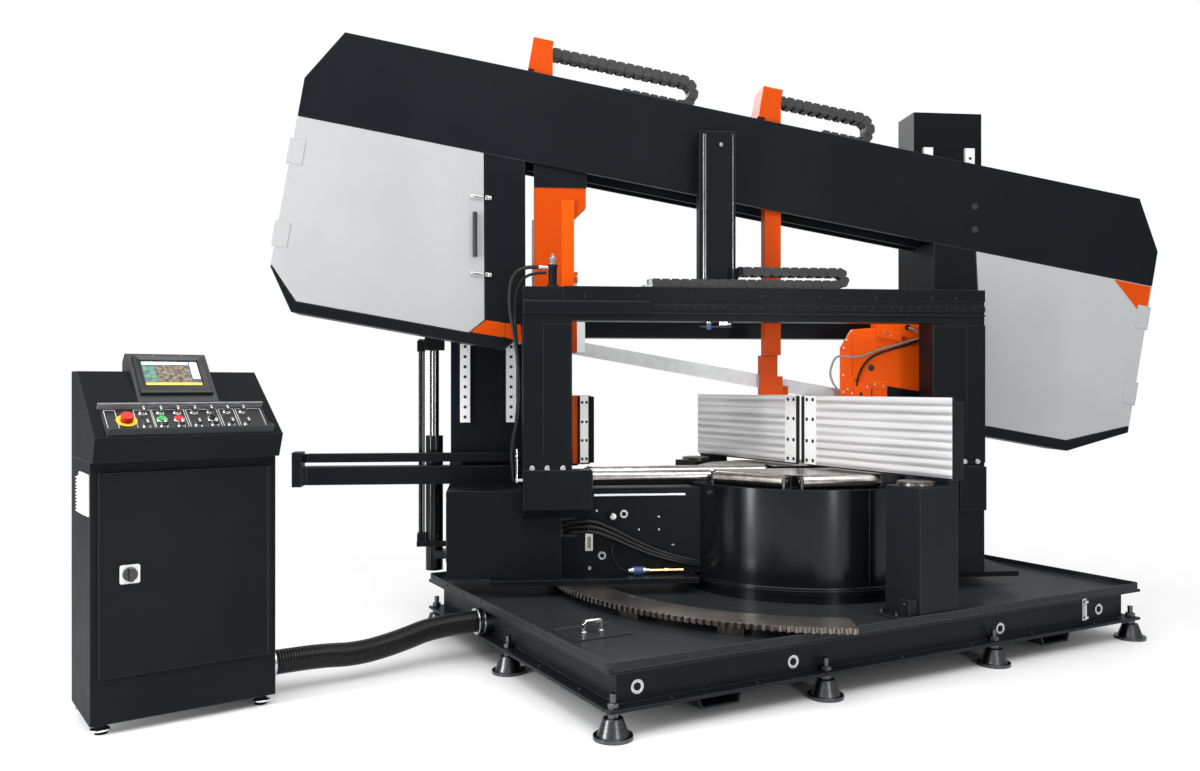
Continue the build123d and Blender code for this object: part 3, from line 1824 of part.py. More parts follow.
# Doors of the wheel cases with their hinge barrels
left_hinge_s = bow_left - hinge_reach
right_hinge_s = bow_right + hinge_reach
hinge_y = bow_front + bow_skin / 2
with BuildPart() as left_door:
    sheet(left_door_outline, bow_front, door_back)
    for hinge_n in (hinge_low, hinge_high):
        rod((left_hinge_s, hinge_y, hinge_n), (0, 0, 1), hinge_radius, hinge_length)
        block(
            left_hinge_s,
            bow_left + hinge_length / 2,
            bow_front - hinge_leaf,
            hinge_y,
            hinge_n,
            hinge_n + hinge_length,
        )
write(left_door, "left_door", BOW)

with BuildPart() as right_door:
    sheet(right_door_outline, bow_front, door_back)
    for hinge_n in (hinge_low, hinge_high):
        rod((right_hinge_s, hinge_y, hinge_n), (0, 0, 1), hinge_radius, hinge_length)
        block(
            bow_right - hinge_length / 2,
            right_hinge_s,
            bow_front - hinge_leaf,
            hinge_y,
            hinge_n,
            hinge_n + hinge_length,
        )
write(right_door, "right_door", BOW)

# Band wheels: rim, web with holes and hub
wheel_rim_radius = wheel_radius - blade_wheel_gap


def band_wheel(centre_s):
    """A flat rimmed wheel on an axis across the bow."""
    front = (centre_s, -wheel_width / 2, wheel_n)
    rod(front, (0, 1, 0), wheel_rim_radius, wheel_width)
    rod(front, (0, 1, 0), wheel_rim_radius - wheel_rim, (wheel_width - wheel_web) / 2, Mode.SUBTRACT)
    rod(
        (centre_s, wheel_web / 2, wheel_n),
        (0, 1, 0),
        wheel_rim_radius - wheel_rim,
        wheel_width,
        Mode.SUBTRACT,
    )
    rod((centre_s, -wheel_hub_width / 2, wheel_n), (0, 1, 0), wheel_hub_radius, wheel_hub_width)
    for hole in range(wheel_hole_count):
        turn_to = 2 * math.pi * hole / wheel_hole_count
        hole_s = centre_s + wheel_hole_circle * math.cos(turn_to)
        hole_n = wheel_n + wheel_hole_circle * math.sin(turn_to)
        rod((hole_s, -wheel_web, hole_n), (0, 1, 0), wheel_hole_radius, 2 * wheel_web, Mode.SUBTRACT)


with BuildPart() as idler_wheel:
    band_wheel(idler_s)
    rod(
        (idler_s, -wheel_hub_width, wheel_n),
        (0, 1, 0),
        axle_radius + running_gap,
        2 * wheel_hub_width,
        Mode.SUBTRACT,
    )
write(idler_wheel, "idler_wheel", BOW)

with BuildPart() as drive_wheel:
    band_wheel(drive_s)
    rod((drive_s, 0, wheel_n), (0, 1, 0), axle_radius, bow_back - running_gap)
write(drive_wheel, "drive_wheel", BOW)

# Tension block with the idler's axle
with BuildPart() as tension_block:
    block(
        idler_s - tension_half_length,
        idler_s + tension_half_length,
        case_back - case_wall,
        bow_back - spine_wall - running_gap,
        wheel_n - tension_half_height,
        wheel_n + tension_half_height,
    )
    rod(
        (idler_s, -wheel_hub_width / 2 - case_wall, wheel_n),
        (0, 1, 0),
        axle_radius,
        wheel_hub_width / 2 + case_back,
    )
write(tension_block, "tension_block", BOW)

# Saw blade: flat round the wheels, turned upright between the guides; the upright run
# is a solid of its own, a hair apart from the turned ends
with BuildPart() as saw_blade:
    for centre_s, start_angle in ((idler_s, 90), (drive_s, -90)):
        with BuildSketch(Plane.XZ.offset(-blade_mid)) as bend:
            with BuildLine():
                outer_radius = wheel_radius + blade_thickness
                outer_bend = CenterArc((centre_s, wheel_n), outer_radius, start_angle, 180)
                inner_bend = CenterArc((centre_s, wheel_n), wheel_radius, start_angle, 180)
                Line(outer_bend @ 0, inner_bend @ 0)
                Line(outer_bend @ 1, inner_bend @ 1)
            make_face()
        extrude(bend.sketch, amount=blade_width)
    block(
        idler_s,
        drive_s,
        -blade_mid,
        blade_mid,
        wheel_n + wheel_radius,
        wheel_n + wheel_radius + blade_thickness,
    )
    low_n = wheel_n - wheel_radius - blade_thickness / 2
    for wheel_s, start_s, end_s in (
        (idler_s, idler_s + blade_flat, blade_left_guide),
        (drive_s, drive_s - blade_flat, blade_right_guide),
    ):
        block(
            min(wheel_s, start_s),
            max(wheel_s, start_s),
            -blade_mid,
            blade_mid,
            low_n - blade_thickness / 2,
            low_n + blade_thickness / 2,
        )
        twist_faces = []
        for step in range(7):
            share = step / 6
            place = Plane(
                origin=(start_s + share * (end_s - start_s), 0, low_n),
                x_dir=(0, math.cos(math.pi / 2 * share), math.sin(math.pi / 2 * share)),
                z_dir=(1, 0, 0),
            )
            with BuildSketch(place) as section:
                Rectangle(blade_width, blade_thickness)
            twist_faces.append(section.sketch.face())
        loft(twist_faces, ruled=True)
    block(
        blade_left_guide + blade_run_gap,
        blade_right_guide - blade_run_gap,
        -blade_thickness / 2,
        blade_thickness / 2,
        low_n - blade_mid,
        low_n + blade_mid,
    )
write(saw_blade, "saw_blade", BOW)

# Gearbox and motor behind the drive wheel
with BuildPart() as drive_gearmotor:
    rod((drive_s, bow_back, wheel_n), (0, 1, 0), gearbox_radius, gearbox_depth)
    rod((drive_s, bow_back + gearbox_depth, wheel_n), (0, 1, 0), motor_radius, motor_depth)
write(drive_gearmotor, "drive_gearmotor", BOW)

# Shroud over the blade, seated along the slanting edge of the right wheel case
case_edge_top = (CANT * Location((right_case_top_end, 0, band_bottom))).position
case_edge_low = (CANT * Location((right_case_end, 0, right_case_end_n))).position
case_edge_lean = (case_edge_top.X - case_edge_low.X) / (case_edge_top.Z - case_edge_low.Z)
shroud_right_low = case_edge_low.X + (shroud_lip - case_edge_low.Z) * case_edge_lean - shroud_seat
shroud_right_top = case_edge_low.X + (shroud_top - case_edge_low.Z) * case_edge_lean - shroud_seat
with BuildPart() as blade_shroud:
    sheet(
        [
            (shroud_left, shroud_low),
            (shroud_left, shroud_side),
            (shroud_left + shroud_bevel, shroud_shoulder),
            (shroud_right_top, shroud_top),
            (shroud_right_low, shroud_lip),
            (shroud_right_low - shroud_lip_length, shroud_lip),
        ],
        shroud_front,
        shroud_back,
    )
write(blade_shroud, "blade_shroud", HEAD)

# Guide arms: an upright arm on a carriage along the spine's rails, with a head for its chain


def arm_on_rails(mast_middle, width, mast_foot, carriage_s, head_s):
    """Mast, carriage and chain head shared by both guide arms."""
    head_z = blade_height - head_s * math.sin(math.radians(cant_angle)) + arm_head_top
    block(
        mast_middle - width / 2,
        mast_middle + width / 2,
        arm_front,
        arm_back,
        mast_foot,
        head_z - arm_head_overlap,
    )
    with Locations(CANT):
        block(
            carriage_s - arm_carriage_length / 2,
            carriage_s + arm_carriage_length / 2,
            arm_front,
            case_back - arm_rail_reach - running_gap,
            arm_carriage_bottom,
            arm_carriage_top,
        )
        block(
            head_s - arm_head_length / 2,
            head_s + arm_head_length / 2,
            arm_front,
            arm_chain_front + arm_chain_width,
            arm_head_bottom,
            arm_head_top,
        )


with BuildPart() as left_guide_arm:
    arm_on_rails(left_mast_x, left_mast_width, bracket_bottom, left_carriage_s, left_head_s)
    sheet(
        [
            (left_mast_x, bracket_bottom),
            (left_mast_x, housing_top),
            (bracket_tab, housing_top),
            (bracket_tab, bracket_top - bracket_tab_height),
            (bracket_right, bracket_top - bracket_tab_height - bracket_bevel_height),
            (bracket_right, bracket_bottom),
        ],
        arm_front,
        arm_back,
    )
    block(
        left_guide_left - left_leg_width,
        left_guide_left,
        guide_block_front,
        -2 * guide_slot_half,
        left_guide_bottom,
        bracket_bottom,
    )
write(left_guide_arm, "left_guide_arm", HEAD)

with BuildPart() as right_guide_arm:
    arm_on_rails(right_mast_x, right_mast_width, right_mast_foot, right_carriage_s, right_head_s)
write(right_guide_arm, "right_guide_arm", HEAD)

# Blade guides: blocks slotted for the blade, narrow enough to follow it into the trench
blade_slot = (bow_left, 0, -guide_slot_half, guide_slot_half, guide_slot_low, guide_slot_top)
with BuildPart() as left_blade_guide:
    block(
        left_guide_left,
        left_guide_right,
        guide_block_front,
        guide_back,
        left_guide_bottom,
        left_guide_top,
    )
    with Locations(CANT):
        block(*blade_slot, Mode.SUBTRACT)
write(left_blade_guide, "left_blade_guide", HEAD)

with BuildPart() as right_blade_guide:
    guide_left = right_mast_x - right_mast_width / 2
    block(
        guide_left,
        guide_left + right_mast_width,
        guide_block_front,
        guide_back,
        right_guide_bottom,
        right_mast_foot,
    )
    block(
        guide_left,
        right_guide_right,
        guide_block_front,
        guide_back,
        right_guide_bottom,
        right_guide_bottom + right_guide_height,
    )
    block(
        right_guide_right,
        right_guide_nose,
        right_guide_nose_front,
        guide_back,
        right_guide_bottom,
        right_guide_bottom + right_guide_nose_height,
    )
    with Locations(CANT):
        block(*blade_slot, Mode.SUBTRACT)
write(right_blade_guide, "right_blade_guide", HEAD)

# Energy chains of the guide arms on top of the bow
arm_chain_back = arm_chain_front + arm_chain_width
with BuildPart() as left_arm_chain:
    chain(
        left_head_s + arm_head_length / 2,
        left_chain_anchor,
        left_chain_end,
        bow_top,
        arm_head_top - bow_top,
        arm_chain_height,
        arm_chain_front,
        arm_chain_back,
    )
write(left_arm_chain, "left_arm_chain", BOW)

with BuildPart() as right_arm_chain:
    chain(
        right_head_s + arm_head_length / 2,
        right_chain_anchor,
        right_chain_end,
        bow_top,
        arm_head_top - bow_top,
        arm_chain_height,
        arm_chain_front,
        arm_chain_back,
    )
write(right_arm_chain, "right_arm_chain", BOW)
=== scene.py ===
import math

import bmesh
import bpy
from mathutils import Matrix, Vector


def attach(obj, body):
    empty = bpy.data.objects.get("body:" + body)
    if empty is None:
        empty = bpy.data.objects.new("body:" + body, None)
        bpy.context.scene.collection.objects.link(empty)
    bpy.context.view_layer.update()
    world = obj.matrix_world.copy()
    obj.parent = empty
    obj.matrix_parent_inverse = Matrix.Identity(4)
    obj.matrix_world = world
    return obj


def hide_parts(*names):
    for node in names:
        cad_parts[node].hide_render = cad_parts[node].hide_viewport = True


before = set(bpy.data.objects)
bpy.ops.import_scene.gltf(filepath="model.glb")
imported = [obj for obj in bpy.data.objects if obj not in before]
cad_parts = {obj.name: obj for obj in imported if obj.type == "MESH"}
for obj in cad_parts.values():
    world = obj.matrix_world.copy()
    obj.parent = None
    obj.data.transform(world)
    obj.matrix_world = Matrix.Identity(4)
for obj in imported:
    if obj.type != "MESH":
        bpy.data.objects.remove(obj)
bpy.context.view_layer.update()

# The studio: a pale floor that fades into a white surround, under two soft banks overhead.
# Tall strips at the left and in front draw the upright highlights on the turret, and banks at
# the left and behind light the machine's edges.
scene = bpy.context.scene
scene.view_settings.view_transform = "Standard"


def stand(name, data, place, way):
    """Stands a camera or a lamp at a place, looking along a way."""
    made = bpy.data.objects.new(name, data)
    made.location = place
    made.rotation_euler = Vector(way).to_track_quat("-Z", "Y").to_euler()
    scene.collection.objects.link(made)
    return made


camera_lens = bpy.data.cameras.new("studio_camera")
camera_lens.lens = 30.0
camera_lens.sensor_width = 36.0
camera_lens.clip_end = 300.0
scene.camera = stand("studio_camera", camera_lens, (-2.5933, -4.0424, 1.247), (0.4787, 0.878, 0.0))
for name, place, aim, width, height, watts in (
    ("overhead_bank", (-0.5, -1.5, 5.5), (0.0, 0.0, 0.0), 7.0, 5.0, 170.0),
    ("front_bank", (-1.0, -5.0, 6.6), (0.2, 0.0, 1.0), 6.0, 3.0, 185.0),
    ("left_strip", (-5.57, -0.6, 1.35), (0.2, -0.3, 0.6), 0.5, 2.6, 150.0),
    ("left_bank", (-6.0, -1.0, 4.2), (0.5, 0.0, 0.9), 3.5, 2.5, 110.0),
    ("front_strip", (-0.44, -6.4, 1.3), (0.5, -0.5, 0.6), 0.5, 2.4, 62.0),
    ("rear_bank", (1.5, 6.0, 4.5), (0.0, 0.0, 1.2), 4.0, 2.0, 110.0),
):
    bank = bpy.data.lights.new(name, "AREA")
    bank.shape = "RECTANGLE"
    bank.size = width
    bank.size_y = height
    bank.energy = watts
    stand(name, bank, place, Vector(aim) - Vector(place)).visible_camera = False


def feed(tree, made, **inputs):
    """Fills a node's sockets: an output is linked to them, anything else is set as a constant."""
    for name, value in inputs.items():
        target = made.inputs[name.replace("_", " ")]
        if isinstance(value, bpy.types.NodeSocket):
            tree.links.new(value, target)
        else:
            target.default_value = value


def node(tree, kind, **inputs):
    made = tree.nodes.new(kind)
    feed(tree, made, **inputs)
    return made


def join(tree, *pairs):
    for source, target in pairs:
        tree.links.new(source, target)


def shades(tree, level, dark, light, low=0.3, high=0.7):
    """A ramp from one colour to another."""
    ramp = node(tree, "ShaderNodeValToRGB", Fac=level)
    for stop, place, colour in zip(ramp.color_ramp.elements, (low, high), (dark, light)):
        stop.position = place
        stop.color = (*colour, 1)
    return ramp.outputs["Color"]


def noise(tree, scale, detail=2.0, stretch=(1, 1, 1)):
    """A cloud fixed to the object, drawn out along its axes."""
    place = node(tree, "ShaderNodeTexCoord").outputs["Object"]
    squeeze = node(tree, "ShaderNodeMapping", Vector=place, Scale=stretch).outputs["Vector"]
    return node(tree, "ShaderNodeTexNoise", Vector=squeeze, Scale=scale, Detail=detail).outputs["Fac"]


def new_finish(name):
    finish = bpy.data.materials.new(name)
    finish.use_nodes = True
    return finish, finish.node_tree, finish.node_tree.nodes["Principled BSDF"]


surround = bpy.data.worlds.new("studio_surround")
surround.use_nodes = True
scene.world = surround
sky = surround.node_tree
sky_way = node(sky, "ShaderNodeTexCoord").outputs["Generated"]
sky_height = node(sky, "ShaderNodeSeparateXYZ", Vector=sky_way).outputs["Z"]
sky_level = node(sky, "ShaderNodeMapRange", Value=sky_height, From_Min=-1.0).outputs["Result"]
sky_light = sky.nodes["Background"]
feed(sky, sky_light, Strength=0.8, Color=shades(sky, sky_level, (0.32, 0.32, 0.32), (1.0, 1.0, 1.0), 0.5, 0.9))
sky_white = node(sky, "ShaderNodeBackground", Color=(1, 1, 1, 1))
sky_mix = node(sky, "ShaderNodeMixShader", Fac=node(sky, "ShaderNodeLightPath").outputs["Is Camera Ray"])
join(
    sky,
    (sky_light.outputs[0], sky_mix.inputs[1]),
    (sky_white.outputs[0], sky_mix.inputs[2]),
    (sky_mix.outputs[0], sky.nodes["World Output"].inputs["Surface"]),
)

floor_radius, fade_start, fade_end = 60.0, 1.6, 4.6
floor_finish, floor_tree, floor_shader = new_finish("studio_floor")
floor_tone = shades(floor_tree, noise(floor_tree, 1.5, 3.0), (0.86, 0.86, 0.86), (0.9, 0.9, 0.9))
feed(floor_tree, floor_shader, Roughness=0.55, Base_Color=floor_tone)
floor_reach = node(floor_tree, "ShaderNodeVectorMath")
floor_reach.operation = "LENGTH"
floor_fade = node(floor_tree, "ShaderNodeMapRange", From_Min=fade_start, From_Max=fade_end)
floor_fade.interpolation_type = "SMOOTHSTEP"
floor_share = node(floor_tree, "ShaderNodeMath")
floor_share.operation = "MULTIPLY"
floor_glow = node(floor_tree, "ShaderNodeEmission", Color=(1, 1, 1, 1))
floor_blend = node(floor_tree, "ShaderNodeMixShader", Fac=floor_share.outputs["Value"])
join(
    floor_tree,
    (node(floor_tree, "ShaderNodeTexCoord").outputs["Object"], floor_reach.inputs[0]),
    (floor_reach.outputs["Value"], floor_fade.inputs["Value"]),
    (floor_fade.outputs["Result"], floor_share.inputs[0]),
    (node(floor_tree, "ShaderNodeLightPath").outputs["Is Camera Ray"], floor_share.inputs[1]),
    (floor_shader.outputs[0], floor_blend.inputs[1]),
    (floor_glow.outputs[0], floor_blend.inputs[2]),
    (floor_blend.outputs[0], floor_tree.nodes["Material Output"].inputs["Surface"]),
)
floor_mesh = bmesh.new()
bmesh.ops.create_circle(floor_mesh, cap_ends=True, segments=96, radius=floor_radius)
floor_data = bpy.data.meshes.new("studio_floor")
floor_mesh.to_mesh(floor_data)
floor_mesh.free()
floor_data.materials.append(floor_finish)
floor = bpy.data.objects.new("studio_floor", floor_data)
scene.collection.objects.link(floor)

# The base: a low frame of steel channels with fork pockets, welded and painted charcoal.
# Steel plugs close the holes for the lifting eyes, hexagon bolts run along its lower flange, and
# a glass sight tube in a steel holder shows the coolant level.
BASE = Matrix.Translation((0.7807, -0.0094, 0.0))
UP, DOWN, FRONT, LEFT, RIGHT = (0, 0, 1), (0, 0, -1), (0, -1, 0), (-1, 0, 0), (1, 0, 0)


def spread(tree, level, low, high):
    return node(tree, "ShaderNodeMapRange", Value=level, To_Min=low, To_Max=high).outputs["Result"]


def relief(tree, level, strength, depth, under=None):
    bump = node(tree, "ShaderNodeBump", Height=level, Strength=strength, Distance=depth)
    if under:
        feed(tree, bump, Normal=under)
    return bump.outputs["Normal"]


def edge_mask(tree, radius):
    """White along the outer edges of a piece, and a normal that is rounded there."""
    rounded = node(tree, "ShaderNodeBevel", Radius=radius).outputs["Normal"]
    flat = node(tree, "ShaderNodeNewGeometry").outputs["True Normal"]
    agree = node(tree, "ShaderNodeVectorMath")
    agree.operation = "DOT_PRODUCT"
    join(tree, (flat, agree.inputs[0]), (rounded, agree.inputs[1]))
    wear_and_edge_highlight = node(tree, "ShaderNodeMapRange", Value=agree.outputs["Value"], From_Min=0.995, From_Max=0.85)
    return wear_and_edge_highlight.outputs["Result"], rounded


def paint(name, slot, dark, light, wear_and_edge_highlight, rough, gloss_spread=0.08, mirror=0.07):
    """Sprayed enamel: a faint cloud in its tone, orange peel, and paler edges that are partly wear and partly a painted
    highlight where the edges catch the light.
    """
    finish, tree, shader = new_finish(name)
    finish["slot"] = slot
    edge, soft = edge_mask(tree, 0.004)
    mix = node(tree, "ShaderNodeMix")
    mix.data_type = "RGBA"
    # The paler colour along every edge is partly wear and partly a painted highlight.
    feed(tree, mix, Factor=edge, A=shades(tree, noise(tree, 2.4, 4.0), dark, light), B=(*wear_and_edge_highlight, 1))
    feed(
        tree, shader,
        Base_Color=mix.outputs["Result"],
        Roughness=spread(tree, noise(tree, 9.0, 5.0), rough - gloss_spread, rough + gloss_spread),
        Normal=relief(tree, noise(tree, 260.0, 2.0), 0.05, 0.002, soft),
        Specular_IOR_Level=mirror,
    )
    return finish


def bare_metal(name, dark, light, rough, stretch, grain=0.12, peak=60.0, metal=1.0, slot="steel"):
    """Machined metal: fine tool lines along one direction under a thin film of oil."""
    finish, tree, shader = new_finish(name)
    finish["slot"] = slot
    lines = noise(tree, peak, 4.0, stretch)
    feed(
        tree, shader,
        Base_Color=shades(tree, lines, dark, light),
        Roughness=spread(tree, noise(tree, 7.0, 4.0), rough - 0.07, rough + 0.09),
        Normal=relief(tree, lines, grain, 0.0006, edge_mask(tree, 0.0025)[1]),
        Metallic=metal,
    )
    return finish


def clear_glass(name, colour):
    finish, tree, shader = new_finish(name)
    finish["slot"] = "steel"
    feed(
        tree, shader,
        Base_Color=shades(tree, noise(tree, 30.0, 2.0), [c * 0.85 for c in colour], colour),
        Roughness=spread(tree, noise(tree, 80.0, 3.0), 0.04, 0.14),
        Transmission_Weight=0.6,
        IOR=1.47,
    )
    return finish


def dress(finish, *names):
    """Gives CAD nodes their finish."""
    for name in names:
        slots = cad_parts[name].data.materials
        slots.clear()
        slots.append(finish)


def block(mesh, x0, x1, y0, y1, z0, z1):
    corners = [mesh.verts.new((x, y, z)) for x in (x0, x1) for y in (y0, y1) for z in (z0, z1)]
    for side in ((0, 1, 3, 2), (4, 6, 7, 5), (0, 4, 5, 1), (2, 3, 7, 6), (0, 2, 6, 4), (1, 5, 7, 3)):
        mesh.faces.new([corners[i] for i in side])


def turned(mesh, centre, axis, profile, sides):
    """A turned piece: rings of (radius, height) along an axis."""
    turn = Vector(axis).to_track_quat("Z", "Y").to_matrix()
    angles = [2 * math.pi * i / sides for i in range(sides)]
    rings = []
    for radius, height in profile:
        rings.append([
            mesh.verts.new(Vector(centre) + turn @ Vector((radius * math.cos(a), radius * math.sin(a), height)))
            for a in (angles if radius else angles[:1])
        ])
    for low, high in zip(rings, rings[1:]):
        for i in range(sides):
            j = (i + 1) % sides
            corners = [low[i % len(low)], low[j % len(low)], high[j % len(high)], high[i % len(high)]]
            mesh.faces.new(list(dict.fromkeys(corners)))


def rod(radius, length):
    return [(0, 0), (radius, 0), (radius, length), (0, length)]


def cap(radius, shoulder, crown, top, foot=0):
    """The profile of a round head with a chamfer."""
    return [(0, foot), (radius, foot), (radius, shoulder), (crown, top), (0, top)]


def socket(radius, bore, rise, floor):
    """The profile of a head or a rim with a flat recess in it."""
    return [(0, 0), (radius, 0), (radius, rise), (bore, rise), (bore, floor), (0, floor)]


def hex_bolt(mesh, centre, axis, width, washer=True):
    """A hexagon head on its washer."""
    rise = width * 0.16 if washer else 0.0
    if washer:
        turned(mesh, centre, axis, rod(width * 1.15, rise), 24)
    top = rise + width * 0.7
    turned(mesh, centre, axis, cap(width, top - width * 0.1, width * 0.86, top, rise), 6)


def piece(name, mesh, body, place, finish, edge):
    """Turns a mesh in millimetres into a piece that rides on a body."""
    bmesh.ops.recalc_face_normals(mesh, faces=mesh.faces)
    mesh.transform(Matrix.Scale(0.001, 4))
    data = bpy.data.meshes.new(name)
    mesh.to_mesh(data)
    mesh.free()
    data.materials.append(finish)
    data.shade_smooth()
    data.set_sharp_from_angle(angle=math.radians(35))
    made = bpy.data.objects.new(name, data)
    scene.collection.objects.link(made)
    made.matrix_world = place
    if edge:
        soft = made.modifiers.new("soft_edges", "BEVEL")
        soft.width = edge * 0.001
        soft.segments = 2
        soft.limit_method = "ANGLE"
        soft.angle_limit = math.radians(40)
        soft.harden_normals = True
    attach(made, body)
    return made


def fit(name, body, place, finish, edge, *shapes):
    """A piece made of shapes, each written as its function and its sizes."""
    mesh = bmesh.new()
    for shape, *sizes in shapes:
        shape(mesh, *sizes)
    return piece(name, mesh, body, place, finish, edge)


charcoal = paint(
    "charcoal_enamel", "charcoal_paint",
    (0.0056, 0.0072, 0.0088), (0.0072, 0.0092, 0.0110), (0.062, 0.066, 0.070), 0.36,
)
base_enamel = paint(
    "base_enamel", "charcoal_paint",
    (0.0106, 0.0127, 0.0149), (0.0130, 0.0154, 0.0178), (0.066, 0.070, 0.074), 0.36,
)
bright_steel = bare_metal("bright_steel", (0.50, 0.51, 0.52), (0.66, 0.67, 0.69), 0.24, (1, 1, 6))
dress(base_enamel, "base_frame")
web_front = -925.0
base_plugs = ((-1527, 160), (-810, 155), (383, 147), (1080, 160))
fit(
    "base_plug_rings", "base", BASE, bright_steel, 0.4,
    *[(turned, (x, web_front, z), FRONT, socket(27, 22, 3, 1.5), 28) for x, z in base_plugs],
)
fit(
    "base_plug_caps", "base", BASE, base_enamel, 0.4,
    *[(turned, (x, web_front - 1.5, z), FRONT, cap(15, 2, 8, 4), 24) for x, z in base_plugs],
)
sight_x = 888.0
fit(
    "sight_tube_frame", "base", BASE, bright_steel, 1.0,
    (block, sight_x - 12, sight_x + 12, -1000, -985, 148, 160),
    (block, sight_x - 12, sight_x + 12, -1000, -985, 222, 234),
    (block, sight_x - 14, sight_x + 14, -988, -984, 140, 242),
)
fit(
    "sight_tube", "base", BASE, clear_glass("sight_glass", (0.75, 0.8, 0.78)), 0,
    (turned, (sight_x, -993, 158), UP, rod(5.5, 66), 20),
)
flange_top = 107
fit(
    "frame_bolts", "base", BASE, base_enamel, 0.3,
    *[(hex_bolt, (x, -955, flange_top), UP, 7) for x in (-1400, -1010, -640, -250, 160, 560, 1000, 1200)],
    *[(hex_bolt, (x, y, flange_top), UP, 7) for y in (-700, -350, 0, 350, 700) for x in (-1644, 1286)],
)

# The drip tray: bent sheet on the frame with a low upright rim, welded at the corners and
# painted, and a small hinged hatch over the chip box with a bent and chromed round handle.
# The tray's enamel is a lighter copy of the charcoal: painted light, for the light from above on its top.
tray_enamel_lit = paint(
    "tray_enamel_lit", "charcoal_paint",
    (0.0205, 0.0230, 0.0255), (0.0245, 0.0270, 0.0300), (0.085, 0.089, 0.093), 0.34,
)
chrome = bare_metal("chrome_plate", (0.76, 0.77, 0.78), (0.86, 0.87, 0.88), 0.13, (1, 1, 1), 0.02, 40.0)
dress(tray_enamel_lit, "drip_tray", "tray_hatch")
rim_z, screw_pitch = 262, 220
screw_head = [(0, 0), (6, 0), (5, 2.4), (0, 3)]
fit(
    "tray_rim_screws", "base", BASE, tray_enamel_lit, 0,
    *[(turned, (x, -985, rim_z), FRONT, screw_head, 14) for x in range(-1560, 1300, screw_pitch)],
    *[(turned, (-1674, y, rim_z), LEFT, screw_head, 14) for y in range(-880, 930, screw_pitch)],
)


def skin(mesh, rings):
    """Bands of faces from each ring to the next one."""
    for low, high in zip(rings, rings[1:]):
        for i in range(len(low)):
            j = (i + 1) % len(low)
            mesh.faces.new((low[i], low[j], high[j], high[i]))


def tube(mesh, line, radius, sides):
    """A closed round tube through a line of points."""
    line = [Vector(p) for p in line]
    ahead = [(b - a).normalized() for a, b in zip(line, line[1:])]
    along = [ahead[0]] + [(a + b).normalized() for a, b in zip(ahead, ahead[1:])] + [ahead[-1]]
    angles = [2 * math.pi * i / sides for i in range(sides)]
    across = along[0].orthogonal().normalized()
    rings = []
    for point, way in zip(line, along):
        across = (across - way * across.dot(way)).normalized()
        up = way.cross(across)
        rings.append([mesh.verts.new(point + radius * (across * math.cos(a) + up * math.sin(a))) for a in angles])
    skin(mesh, rings)
    mesh.faces.new(rings[0][::-1])
    mesh.faces.new(rings[-1])


hatch_x, hatch_y, lid_top = -1470.0, -480.0, 256.5
grip_half, grip_rise, grip_bend, grip_radius = 39.0, 42.0, 12.0, 8.6
grip_line = [(hatch_x - grip_half, hatch_y, lid_top)]
for step in range(7):
    swing = math.pi / 2 * step / 6
    grip_line.append((
        hatch_x - grip_half + grip_bend * (1 - math.cos(swing)) - 0.4,
        hatch_y,
        lid_top + grip_rise - grip_bend + grip_bend * math.sin(swing),
    ))
grip_line += [(2 * hatch_x - x, y, z) for x, y, z in reversed(grip_line)]
fit(
    "hatch_handle", "hatch_lid", BASE, chrome, 0,
    (tube, grip_line, grip_radius, 18),
    *[(turned, (hatch_x + side * grip_half, hatch_y, lid_top), UP, cap(14, 3, 9, 4), 20) for side in (-1, 1)],
)

# The levelling feet: turned cone pads of blackened steel round the edge of the frame, each on
# a threaded stud that is screwed through a bracket and held by lock nuts.
gunmetal = bare_metal("gunmetal", (0.075, 0.077, 0.08), (0.12, 0.122, 0.127), 0.3, (1, 1, 8), 0.08, 30.0)
dress(gunmetal, "levelling_feet")

# The swivel drive: a sector of hardened pins between ground rings on the tray, oiled and
# a little brown, with upward faces made lighter as a painted highlight, and a hobbed pinion that rolls along it.
ring_look = ((0.12, 0.102, 0.09), (0.22, 0.195, 0.175), 0.3, (3, 3, 1), 0.1, 25.0)
ring_finish = bare_metal("ring_ground_steel", *ring_look)
ring_tree = ring_finish.node_tree
ring_colour = ring_tree.nodes["Principled BSDF"].inputs["Base Color"]
# Upward faces take a paler steel colour: a painted highlight on the top of the ring.
ring_flat = node(ring_tree, "ShaderNodeNewGeometry").outputs["True Normal"]
ring_rise = node(ring_tree, "ShaderNodeSeparateXYZ", Vector=ring_flat).outputs["Z"]
ring_top_highlight_mask = node(ring_tree, "ShaderNodeMapRange", Value=ring_rise, From_Min=0.5, From_Max=0.9)
top_highlight_tone = shades(ring_tree, noise(ring_tree, 3.0, 4.0), (0.42, 0.385, 0.355), (0.62, 0.58, 0.545))
ring_mix = node(ring_tree, "ShaderNodeMix")
ring_mix.data_type = "RGBA"
feed(ring_tree, ring_mix, Factor=ring_top_highlight_mask.outputs["Result"], A=ring_colour.links[0].from_socket, B=top_highlight_tone)
ring_tree.links.new(ring_mix.outputs["Result"], ring_colour)
dress(ring_finish, "swivel_ring")
dress(bright_steel, "swivel_pinion")

